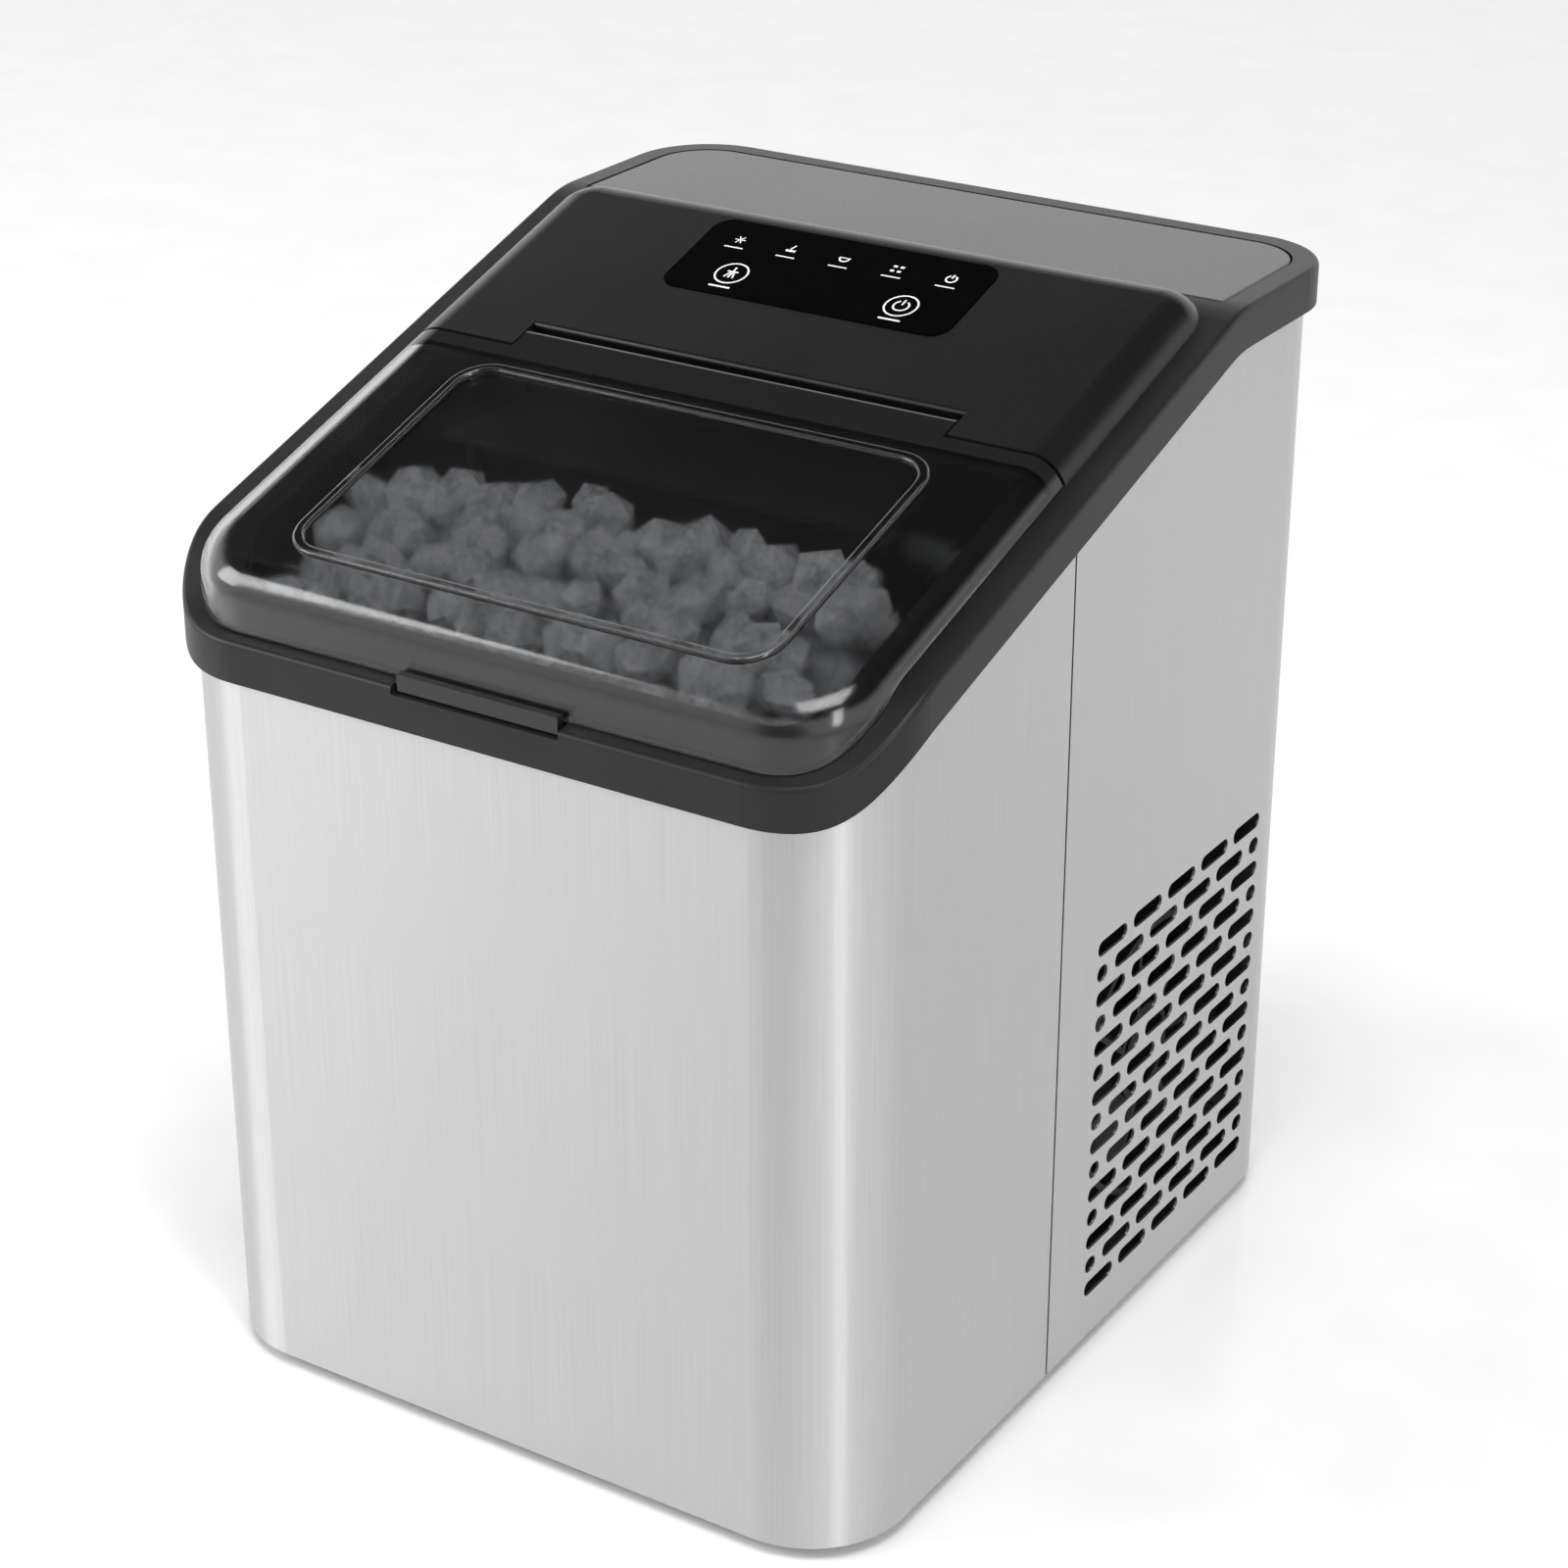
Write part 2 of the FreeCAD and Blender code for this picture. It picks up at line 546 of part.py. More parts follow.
TRAY_Y = BULK_Y + AXIS_BACK
TRAY_Z = top_z(TRAY_Y) - AXIS_DROP
SWEEP_R = math.hypot(TRAY_FRONT, TRAY_BOTTOM)
CHAMBER_FLOOR = TRAY_Z - SWEEP_R - 5.0
CHAMBER_REAR = BULK_Y + CHAMBER_D
TUBE_X = 30.0
TUBE_Z = TRAY_Z + PLATE_UP + PLATE_T + EVAP_R
SUMP_X = 50.0
SUMP_Y = TANK_FRONT + 58.0
HOSE_X = TANK_HALF - 10.0
HOSE_Y = TANK_REAR - 12.0
HOSE_R = 4.0


def tank_form(inset):
    """Tank with the freezing chamber behind its upper part, every wall moved inwards by inset."""
    tank = block(-TANK_HALF + inset, TANK_HALF - inset, TANK_FRONT + inset, TANK_REAR - inset,
                 TANK_FLOOR + inset, FAR, TANK_R - inset, 6.0 - inset)
    chamber = block(-CHAMBER_HALF + inset, CHAMBER_HALF - inset, TANK_REAR - 12.0, CHAMBER_REAR - inset - 2.0,
                    CHAMBER_FLOOR - TANK_WALL + inset, FAR, 0, 6.0 - inset)
    return tank.fuse(chamber)


def inner_tank():
    tank = tank_form(0).cut(tank_form(TANK_WALL)).common(under_rim(BAND - RIM_FLANGE - FIT))
    holes = [rod(-FAR, TRAY_Y, TRAY_Z, "x", SHAFT_R + 2.0, 2 * FAR),
             rod(SUMP_X, SUMP_Y, 0, "z", 5.0, TANK_FLOOR + 10),
             rod(HOSE_X, HOSE_Y, 0, "z", HOSE_R + FIT, TANK_FLOOR + 10),
             rod(DRAIN_X, FRONT_Y + DRAIN_Y, 0, "z", DRAIN_R - 1.5, TANK_FLOOR + 10)]
    holes += [rod(x, 0, TUBE_Z, "y", EVAP_R + FIT, FAR) for x in (-TUBE_X, TUBE_X)]
    ledge_z = BASKET_Z + BASKET_H - 8.0
    ledges = []
    for side in (-1, 1):
        x = sorted((side * (TANK_HALF - TANK_WALL), side * (TANK_HALF - BASKET_GAP + 0.2)))
        ledges.append(box(x[0], x[1], BASKET_FRONT + 6.0, BASKET_FRONT + BASKET_D - 6.0,
                          ledge_z - 10.0, ledge_z))
    return join(tank.cut(holes), *ledges)


DRAIN_X = -HALF_W + 26.0
BASKET_FRONT = TANK_FRONT + TANK_WALL + 4.0
BASKET_MID = BASKET_FRONT + BASKET_D / 2
BASKET_Z = rim_line(BASKET_MID) - BASKET_TOP - BASKET_H
BASKET_HALF = TANK_HALF - BASKET_GAP


def tank_foam():
    gap = SHEET + 0.4
    outer = block(-HALF_W + gap, HALF_W - gap, FRONT_Y + gap, BULK_Y - 0.4, TANK_FLOOR - 10.0, FAR,
                  FRONT_R - gap, 0)
    tank = block(-TANK_HALF - FIT, TANK_HALF + FIT, TANK_FRONT - FIT, BULK_Y + 5.0, TANK_FLOOR - FIT, FAR,
                 TANK_R + FIT, 0)
    clear_z = CHAMBER_FLOOR - TANK_WALL - FIT
    foam = outer.cut(tank).common(under_rim(BAND - RIM_FLANGE - 0.6))
    seam = box(-FAR, FAR, SEAM_Y - 2.0, SEAM_Y + 2.0, 0, FAR)
    core = box(-HALF_W + gap + SEAM_RETURN + 0.4, HALF_W - gap - SEAM_RETURN - 0.4, -FAR, FAR, 0, FAR)
    foam = foam.cut(seam.cut(core))
    back = box(-TANK_HALF, TANK_HALF, TANK_REAR + FIT, BULK_Y - 0.4, TANK_FLOOR - 10.0, clear_z)
    holes = [rod(SUMP_X, SUMP_Y, 0, "z", 7.5, TANK_FLOOR + 10),
             rod(HOSE_X, HOSE_Y, 0, "z", HOSE_R + 1.0, TANK_FLOOR + 10),
             rod(DRAIN_X, FRONT_Y + DRAIN_Y, 0, "z", DRAIN_R + 3.0, TANK_FLOOR + 10)]
    return join(foam, back).cut(holes)


def ice_basket():
    back = BASKET_FRONT + BASKET_D
    top = BASKET_Z + BASKET_H
    w = BASKET_WALL
    tub = block(-BASKET_HALF, BASKET_HALF, BASKET_FRONT, back, BASKET_Z, top, 14.0, 6.0)
    inner = block(-BASKET_HALF + w, BASKET_HALF - w, BASKET_FRONT + w, back - w, BASKET_Z + w, FAR,
                  14.0 - w, 6.0 - w)
    tub = tub.cut(inner)
    slot_w = 4.0
    pitch = 11.0
    count = int((BASKET_HALF - 18.0) / pitch)
    cuts = []
    for k in range(-count, count + 1):
        x = k * pitch
        x0 = x - slot_w / 2
        x1 = x + slot_w / 2
        cuts.append(box(x0, x1, BASKET_FRONT - 1, back + 1, BASKET_Z + 14.0, top - 22.0))
        cuts.append(box(x0, x1, BASKET_FRONT + 16.0, back - 10.0, BASKET_Z - 1, BASKET_Z + w + 1))
    side_count = int((BASKET_D - 30.0) / pitch)
    for k in range(side_count):
        y = BASKET_FRONT + 18.0 + k * pitch
        cuts.append(box(-FAR, FAR, y, y + slot_w, BASKET_Z + 14.0, top - 30.0))
    hooks = []
    for side in (-1, 1):
        x = sorted((side * (BASKET_HALF - w), side * (BASKET_HALF + BASKET_GAP - TANK_WALL - 1.0)))
        hooks.append(box(x[0], x[1], BASKET_FRONT + 12.0, back - 12.0, top - 8.0, top - 6.0))
    return join(tub.cut(cuts), *hooks)


def sensors():
    """Pair of ice level sensors on the tank's side walls, above the basket."""
    z = BASKET_Z + BASKET_H + 12.0
    y = BASKET_FRONT + BASKET_D - 8.0
    x = TANK_HALF - TANK_WALL
    eye = join(box(x - 5.0, x, y - 7.0, y + 7.0, z - 5.0, z + 5.0), rod(x - 6.5, y, z, "x", 2.5, 2.0))
    return Part.makeCompound([eye, mirrored(eye)])


def water_level_probe():
    x = -TANK_HALF + TANK_WALL
    y = TANK_REAR - 24.0
    base = TANK_FLOOR + TANK_WALL
    body = box(x, x + 8.0, y - 6.0, y + 6.0, base + 26.0, base + 44.0)
    rods = [rod(x + 4.0, y + dy, base + 6.0, "z", 1.2, 21.0) for dy in (-3.5, 3.5)]
    return join(body, *rods)


# ---- freezing and harvesting ---------------------------------------------------------------------

def fingers_at():
    front = [(k * FINGER_PITCH, TRAY_Y - ROW_FRONT) for k in range(-2, 3)]
    rear = [((k + 0.5) * FINGER_PITCH, TRAY_Y - ROW_REAR) for k in range(-2, 2)]
    return front + rear


def evaporator_plate():
    z = TRAY_Z + PLATE_UP
    half = 2 * FINGER_PITCH + 8.0
    plate = block(-half, half, TRAY_Y - ROW_FRONT - 8.0, TRAY_Y - ROW_REAR + 8.0, z, z + PLATE_T, 6.0, 6.0)
    posts = [rod(x, TRAY_Y - 25.0, z + PLATE_T, "z", 2.5, HANGER_Z - z - PLATE_T)
             for x in (-half + 4.0, half - 4.0)]
    return join(plate, *posts)


def evaporator_fingers():
    z = TRAY_Z - FINGER_END
    solids = []
    for x, y in fingers_at():
        tip = Part.makeSphere(FINGER_R, V(x, y, z + FINGER_R))
        solids.append(join(tip, rod(x, y, z + FINGER_R, "z", FINGER_R, FINGER_END + PLATE_UP - FINGER_R)))
    return Part.makeCompound(solids)


def evaporator_tube():
    y0 = TRAY_Y - ROW_FRONT + 1.0
    route = [(-TUBE_X, CHAMBER_REAR + 12.0, TUBE_Z), (-TUBE_X, y0, TUBE_Z), (TUBE_X, y0, TUBE_Z),
             (TUBE_X, CHAMBER_REAR + 12.0, TUBE_Z)]
    return tube(route, EVAP_R, 12.0)


HANGER_Z = TUBE_Z + EVAP_R + 2.0
HANGER_T = 1.5
PUSHER_Y = TRAY_Y - PUSHER_FRONT
PUSHER_Z = TRAY_Z + PUSHER_UP
BUSH_T = 3.0


def evaporator_bracket():
    rear = CHAMBER_REAR - TANK_WALL - 2.0
    plate = box(-TRAY_HALF - 8.0, TRAY_HALF + 8.0, PUSHER_Y - 6.0, rear, HANGER_Z, HANGER_Z + HANGER_T)
    flange = box(-TRAY_HALF - 8.0, TRAY_HALF + 8.0, rear - HANGER_T, rear, HANGER_Z, HANGER_Z + 12.0)
    ears = []
    for side in (-1, 1):
        x = sorted((side * (PUSHER_HALF + 2.0), side * (PUSHER_HALF + 2.0 + BUSH_T)))
        ears.append(box(x[0], x[1], PUSHER_Y - 5.0, PUSHER_Y + 5.0, PUSHER_Z - 5.0, HANGER_Z + 0.5))
    holes = rod(-FAR, PUSHER_Y, PUSHER_Z, "x", PUSHER_R + RUN, 2 * FAR)
    return join(plate, flange, *ears).cut(holes)


def ice_pusher():
    bar = rod(-PUSHER_HALF - 6.0, PUSHER_Y, PUSHER_Z, "x", PUSHER_R, 2 * PUSHER_HALF + 12.0)
    plate = box(-PUSHER_HALF, PUSHER_HALF, PUSHER_Y - 1.0, PUSHER_Y + 1.0, PUSHER_Z - PUSHER_LEN, PUSHER_Z)
    cuts = [box(k * 12.0 - 2.0, k * 12.0 + 2.0, PUSHER_Y - 2, PUSHER_Y + 2, PUSHER_Z - PUSHER_LEN - 1,
                PUSHER_Z - PUSHER_LEN + 18.0) for k in range(-4, 5)]
    return join(bar, plate.cut(cuts))


def water_tray():
    y0 = TRAY_Y - TRAY_FRONT
    y1 = TRAY_Y - 1.0
    z0 = TRAY_Z - TRAY_BOTTOM
    z1 = TRAY_Z - TRAY_TOP
    w = TRAY_WALL
    tub = block(-TRAY_HALF, TRAY_HALF, y0, y1, z0, z1, 5.0, 5.0)
    tub = tub.cut(block(-TRAY_HALF + w, TRAY_HALF - w, y0 + w, y1 - w, z0 + w, FAR, 5.0 - w, 5.0 - w))
    ears = []
    for side in (-1, 1):
        x = sorted((side * TRAY_HALF, side * (TRAY_HALF - 3.0)))
        ears.append(box(x[0], x[1], TRAY_Y - 12.0, TRAY_Y, z1 - 10.0, TRAY_Z))
        ears.append(rod(x[0], TRAY_Y, TRAY_Z, "x", SHAFT_R + 3.0, 3.0))
    return join(tub, *ears).cut(rod(-FAR, TRAY_Y, TRAY_Z, "x", SHAFT_R, 2 * FAR))


def tray_shaft():
    return rod(-CHAMBER_HALF - 4.0, TRAY_Y, TRAY_Z, "x", SHAFT_R, 2 * CHAMBER_HALF + 12.0)


def tray_bushes():
    x = CHAMBER_HALF - TANK_WALL - 1.0
    bush = rod(x, TRAY_Y, TRAY_Z, "x", SHAFT_R + 2.0, TANK_WALL + 1.0)
    bush = join(bush, rod(x - 1.5, TRAY_Y, TRAY_Z, "x", SHAFT_R + 4.0, 2.5))
    bush = bush.cut(rod(0, TRAY_Y, TRAY_Z, "x", SHAFT_R + RUN, FAR))
    return Part.makeCompound([bush, mirrored(bush)])


def tray_motor():
    x = CHAMBER_HALF + 0.5
    y = TRAY_Y - 8.0
    case = block(x, x + MOTOR_W, y, y + MOTOR_H, TRAY_Z - MOTOR_H / 2, TRAY_Z + MOTOR_H / 2, 3.0, 3.0)
    return case.cut(rod(x - 1, TRAY_Y, TRAY_Z, "x", SHAFT_R + RUN, 9.0))


def tray_switches():
    """Two end-of-travel microswitches on the chamber's outside, by the motor."""
    x = CHAMBER_HALF + 0.5
    y = TRAY_Y + MOTOR_H - 4.0
    cases = []
    for z in (TRAY_Z - MOTOR_H / 2 - 14.0, TRAY_Z - MOTOR_H / 2 - 26.0):
        button = rod(x + 3.0, y - 14.0, z + 9.5, "z", 1.0, 1.5)
        cases.append(join(box(x, x + 6.0, y - 20.0, y, z, z + 10.0), button))
    return Part.makeCompound(cases)


# ---- water ---------------------------------------------------------------------------------------

PUMP_Z = FLOOR_Z + 1.0


def water_pump_body():
    body = rod(SUMP_X, SUMP_Y, PUMP_Z, "z", PUMP_R, PUMP_H)
    room = rod(SUMP_X, SUMP_Y, PUMP_Z + 6.0, "z", PUMP_R - 2.5, PUMP_H - 8.5)
    foot = box(SUMP_X - PUMP_R, SUMP_X + PUMP_R, SUMP_Y - 8, SUMP_Y + 8, FLOOR_Z, PUMP_Z + 2)
    neck_z = PUMP_Z + PUMP_H - 3.0
    neck = rod(SUMP_X, SUMP_Y, neck_z, "z", 5.0, TANK_FLOOR + TANK_WALL - neck_z)
    bore = rod(SUMP_X, SUMP_Y, PUMP_Z + PUMP_H - 4.0, "z", 3.0, FAR)
    pin = rod(SUMP_X, SUMP_Y, PUMP_Z + 5.0, "z", 1.5, PUMP_H - 8.0)
    port = rod(SUMP_X + PUMP_R - 3.0, SUMP_Y, PUMP_Z + PUMP_H / 2, "x", 4.0, 9.0)
    port_bore = rod(SUMP_X + PUMP_R - 8.0, SUMP_Y, PUMP_Z + PUMP_H / 2, "x", 2.5, FAR)
    return join(body, foot, neck, port).cut(room).cut(bore).cut(port_bore).fuse(pin.common(room))


def pump_impeller():
    z = PUMP_Z + 8.0
    hub = rod(SUMP_X, SUMP_Y, z, "z", 4.5, 10.0)
    disc = rod(SUMP_X, SUMP_Y, z, "z", 11.5, 1.5)
    vanes = []
    for k in range(6):
        vane = box(3.5, 11.5, -0.6, 0.6, 0, 8.0)
        vane.rotate(V(0, 0, 0), V(0, 0, 1), k * 60.0)
        vane.translate(V(SUMP_X, SUMP_Y, z))
        vanes.append(vane)
    return join(hub, disc, *vanes).cut(rod(SUMP_X, SUMP_Y, z - 1, "z", 1.5 + RUN, 20.0))


def pump_hose():
    start_x = SUMP_X + PUMP_R + 6.0
    z = PUMP_Z + PUMP_H / 2
    top = TRAY_Z + PLATE_UP - HOSE_R - 1.0
    y = TRAY_Y - ROW_REAR
    route = [(start_x, SUMP_Y, z), (HOSE_X, SUMP_Y, z), (HOSE_X, HOSE_Y, z), (HOSE_X, HOSE_Y, top),
             (TRAY_HALF - 6.0, y, top)]
    hose = tube(route, HOSE_R, 7.0)
    return hose.cut(tube(route, HOSE_R - 1.2, 7.0))


def drain_outlet():
    """Elbow from the tank's floor to the left side wall."""
    y = FRONT_Y + DRAIN_Y
    pipe = rod(-HALF_W + 1.0, y, DRAIN_Z, "x", DRAIN_R + 2.0, DRAIN_X + HALF_W + DRAIN_R)
    down = rod(DRAIN_X, y, DRAIN_Z, "z", DRAIN_R, TANK_FLOOR + TANK_WALL - DRAIN_Z)
    thin = rod(DRAIN_X, y, TANK_FLOOR - 1.0, "z", DRAIN_R + 2, 5)
    flange = rod(-HALF_W + SHEET + FIT, y, DRAIN_Z, "x", DRAIN_R + 3.8, 2.0)
    bore = rod(-HALF_W - 5, y, DRAIN_Z, "x", DRAIN_R, 5 + DRAIN_X + HALF_W + 2.0)
    riser = rod(DRAIN_X, y, DRAIN_Z, "z", DRAIN_R - 2.0, FAR)
    return join(pipe, down.cut(thin), flange).cut(bore).cut(riser)


def drain_plug():
    y = FRONT_Y + DRAIN_Y
    cap = rod(-HALF_W - OVERHANG + 0.3, y, DRAIN_Z, "x", DRAIN_R + 4.5, OVERHANG - 0.6)
    stem = rod(-HALF_W - 1.0, y, DRAIN_Z, "x", DRAIN_R - 1.0, 15.0)
    groove = rod(-HALF_W + 7.0, y, DRAIN_Z, "x", DRAIN_R, 2.4)
    groove = groove.cut(rod(-HALF_W, y, DRAIN_Z, "x", DRAIN_R - 2.5, 20))
    grip = box(-HALF_W - OVERHANG - 5, -HALF_W - OVERHANG + 1.5, y - 20, y - 1.5, 0, 60)
    grip_b = box(-HALF_W - OVERHANG - 5, -HALF_W - OVERHANG + 1.5, y + 1.5, y + 20, 0, 60)
    return join(cap.cut([grip, grip_b]), stem).cut(groove)


def drain_plug_seal():
    y = FRONT_Y + DRAIN_Y
    ring = rod(-HALF_W + 7.0, y, DRAIN_Z, "x", DRAIN_R - 0.1, 2.4)
    return ring.cut(rod(-HALF_W, y, DRAIN_Z, "x", DRAIN_R - 2.5, 20))


# ---- machine bay ---------------------------------------------------------------------------------

def bulkhead():
    t = 1.2
    half = HALF_W - SHEET - 8.0
    upper_y = CHAMBER_REAR + FIT
    shelf = CHAMBER_FLOOR - TANK_WALL - FIT - t
    top = RIM_Z + BAND - RIM_FLANGE - FIT
    lower = box(-half, half, BULK_Y, BULK_Y + t, FLOOR_Z, shelf + t)
    step = box(-half, half, BULK_Y, upper_y + t, shelf, shelf + t)
    upper = box(-half, half, upper_y, upper_y + t, shelf, top).common(under_rim(BAND - RIM_FLANGE - FIT))
    foot = box(-half, half, BULK_Y, BULK_Y + 12.0, FLOOR_Z, FLOOR_Z + t)
    holes = [rod(x, 0, TUBE_Z, "y", EVAP_R + 1.0, FAR) for x in (-TUBE_X, TUBE_X)]
    clear = [rod(x, y, 0, "z", 8.0, FAR) for x, y in COMP_BOLTS]
    feet = [rod(x, y, 0, "z", STEM_R + 3.0, 30.0) for x, y in FEET]
    return join(lower, step, upper, foot.cut(clear).cut(feet)).cut(holes)


COMP_Z = FLOOR_Z + COMP_LIFT
DISCHARGE_R = 2.6
DISCHARGE_DX = 12.0
SUCTION_R = 3.2
SUCTION_DX = -8.0
SUCTION_Y = CHAMBER_REAR + 24.0


def rounded_can(radius, height, z):
    can = rod(COMP_X, COMP_Y, z, "z", radius, height)
    rims = [e for e in can.Edges if e.BoundBox.ZLength < TOL]
    return can.makeFillet(radius * 0.45, rims)


def compressor_shell():
    can = rounded_can(COMP_R, COMP_H, COMP_Z)
    plate = rod(COMP_X, COMP_Y, COMP_Z - 2.0, "z", COMP_R - 14.0, 3.0)
    lugs = []
    for x, y in COMP_BOLTS:
        arm = Part.makeBox(48.0, 16.0, 2.0, V(0, -8.0, 0))
        arm.rotate(V(0, 0, 0), V(0, 0, 1), math.degrees(math.atan2(y - COMP_Y, x - COMP_X)))
        arm.translate(V(COMP_X, COMP_Y, COMP_Z - 2.0))
        lugs.append(arm.cut(rod(x, y, 0, "z", 4.5, FAR)))
    weld = rod(COMP_X, COMP_Y, COMP_Z + COMP_H / 2, "z", COMP_R + 1.2, 3.0)
    solid = join(can, plate, weld, *lugs)
    solid = solid.cut([rod(x, y, COMP_Z - 3, "z", 4.5, 3.5) for x, y in COMP_BOLTS])
    solid = solid.cut([rod(x, y, COMP_Z - 3, "z", 9.0, 3.0 + 14.0).cut(rod(x, y, COMP_Z - 3, "z", 9.5, 3.0))
                       for x, y in COMP_BOLTS])
    ports = [rod(COMP_X + DISCHARGE_DX, COMP_Y, COMP_Z + COMP_H - 20.0, "z", DISCHARGE_R, 30.0),
             rod(COMP_X + SUCTION_DX, SUCTION_Y, COMP_Z + COMP_H - 20.0, "z", SUCTION_R, 30.0)]
    return solid.cut(rounded_can(COMP_R - COMP_WALL, COMP_H - 2 * COMP_WALL, COMP_Z + COMP_WALL)).cut(ports)


def compressor_core():
    return rod(COMP_X, COMP_Y, COMP_Z + COMP_WALL, "z", COMP_R * 0.55 - COMP_WALL - 1.0, COMP_H - 30.0)


def compressor_grommets():
    rings = []
    for x, y in COMP_BOLTS:
        low = rod(x, y, FLOOR_Z, "z", 7.0, COMP_LIFT - 2.0)
        neck = rod(x, y, FLOOR_Z, "z", 4.5, COMP_LIFT + 1.0)
        rings.append(join(low, neck).cut(rod(x, y, 0, "z", 2.0, FAR)))
    return Part.makeCompound(rings)


NUT_R = 3.8
NUT_H = 3.2


def compressor_nuts():
    nuts = []
    for x, y in COMP_BOLTS:
        z = COMP_Z + 1.0
        washer = rod(x, y, z, "z", 6.0, 1.0)
        corners = [V(x, y, z + 1.0) + NUT_R * V(math.cos(k * math.pi / 3), math.sin(k * math.pi / 3), 0)
                   for k in range(7)]
        nut = Part.Face(Part.makePolygon(corners)).extrude(V(0, 0, NUT_H))
        nuts.append(join(washer, nut).cut(rod(x, y, 0, "z", 2.0, FAR)))
    return Part.makeCompound(nuts)


TERMINAL_Y = COMP_Y + COMP_R + 1.6


def compressor_terminal_cover():
    z = COMP_Z + 44.0
    return block(COMP_X - 14.0, COMP_X + 14.0, TERMINAL_Y, TERMINAL_Y + 15.0, z, z + 30.0, 0, 4.0)


COND_X = HALF_W - SHEET - 40.0 - COND_T
COND_Y = BULK_Y + 14.0
COND_Z = FLOOR_Z + 6.0


def coil_rows():
    step = (COND_H - 24.0) / (COIL_ROWS - 1)
    return [COND_Z + 12.0 + k * step for k in range(COIL_ROWS)]


def condenser_fins():
    x0 = COND_X
    step = COND_L / (FINS - 1)
    plates = [box(x0, x0 + COND_T, COND_Y + k * step, COND_Y + k * step + FIN_T, COND_Z, COND_Z + COND_H)
              for k in range(FINS)]
    back = box(x0, x0 + 1.0, COND_Y, COND_Y + COND_L + FIN_T, COND_Z, COND_Z + COND_H)
    feet = [box(x0, x0 + COND_T, y, y + 3.0, FLOOR_Z, COND_Z + 1.0) for y in (COND_Y, COND_Y + COND_L - 2.5)]
    solid = join(back, *plates, *feet)
    return solid.cut([rod(x0 + COND_T / 2, 0, z, "y", COIL_R + 0.1, FAR) for z in coil_rows()])


def condenser_coil():
    x = COND_X + COND_T / 2
    rows = coil_rows()
    near = COND_Y - 9.0
    far = COND_Y + COND_L + 9.0
    route = [(x, near, rows[0])]
    for k, z in enumerate(rows):
        end = far if k % 2 == 0 else near
        if k > 0:
            route.append((x, far if k % 2 == 1 else near, z))
        route.append((x, end, z))
    return tube(route, COIL_R, 8.0)


FAN_Y = COND_Y + COND_L / 2
FAN_Z = COND_Z + COND_H / 2
FAN_MID = HALF_W - SHEET - FAN_X
SHROUD_X = FAN_MID - SHROUD_T / 2


def fan_shroud():
    half = COND_L / 2
    tall = COND_H / 2
    plate = box(SHROUD_X, SHROUD_X + 2.0, FAN_Y - half, FAN_Y + half, FAN_Z - tall, FAN_Z + tall)
    ring = rod(SHROUD_X, FAN_Y, FAN_Z, "x", FAN_R + 4.5, SHROUD_T)
    foot = box(SHROUD_X, SHROUD_X + 14.0, FAN_Y - half, FAN_Y + half, FLOOR_Z, FLOOR_Z + 2.0)
    leg = box(SHROUD_X, SHROUD_X + 2.0, FAN_Y - half, FAN_Y + half, FLOOR_Z, FAN_Z - tall + 1.0)
    hole = rod(SHROUD_X - 1, FAN_Y, FAN_Z, "x", FAN_R + 2.5, SHROUD_T + 2)
    shroud = join(plate, ring, foot, leg).cut(hole)
    arms = []
    for k in range(3):
        arm = box(0, 2.0, -2.0, 2.0, FAN_HUB_R - 1.0, FAN_R + 3.5)
        arm.rotate(V(0, 0, 0), V(1, 0, 0), 120.0 * k + 30.0)
        arm.translate(V(SHROUD_X, FAN_Y, FAN_Z))
        arms.append(arm)
    cup = rod(SHROUD_X, FAN_Y, FAN_Z, "x", FAN_HUB_R + 1.0, 2.0)
    hub = cup.cut(rod(SHROUD_X - 1, FAN_Y, FAN_Z, "x", 12.0, 5.0))
    feet = [rod(x, y, 0, "z", STEM_R + 2.5, FLOOR_Z + 5.0) for x, y in FEET]
    return join(shroud, hub, *arms).cut(feet)


def fan_motor():
    can = rod(SHROUD_X - 8.0, FAN_Y, FAN_Z, "x", 12.0, 10.5)
    shaft = rod(SHROUD_X + 2.0, FAN_Y, FAN_Z, "x", 1.5, 12.0)
    return join(can, shaft)


def fan_blade():
    x0 = SHROUD_X + 3.5
    hub = rod(x0, FAN_Y, FAN_Z, "x", FAN_HUB_R, FAN_L)
    hub = hub.cut(rod(x0 + 2.0, FAN_Y, FAN_Z, "x", FAN_HUB_R - 2.0, FAN_L))
    boss = rod(x0, FAN_Y, FAN_Z, "x", 4.0, FAN_L - 3.0)
    blades = []
    for k in range(FAN_BLADES):
        blade = box(-0.8, 0.8, -11.0, 11.0, FAN_HUB_R - 1.5, FAN_R - 3.0)
        blade.rotate(V(0, 0, 0), V(0, 0, 1), 60.0)
        blade.rotate(V(0, 0, 0), V(1, 0, 0), 360.0 / FAN_BLADES * k)
        blade.translate(V(x0 + FAN_L / 2, FAN_Y, FAN_Z))
        blades.append(blade)
    limit = rod(x0, FAN_Y, FAN_Z, "x", FAN_R, FAN_L)
    fan = join(hub, boss, *blades).common(limit)
    return fan.cut(rod(x0 - 1, FAN_Y, FAN_Z, "x", 1.5 + RUN, FAN_L))


DRIER_X = COND_X - 16.0
DRIER_Y = COND_Y + 12.0


def filter_drier():
    z = FLOOR_Z + 40.0
    body = rod(DRIER_X, DRIER_Y, z, "z", 7.0, 60.0)
    caps = [Part.makeCone(7.0, 2.5, 8.0, V(DRIER_X, DRIER_Y, z + 60.0)),
            Part.makeCone(2.5, 7.0, 8.0, V(DRIER_X, DRIER_Y, z - 8.0))]
    return join(body, *caps)


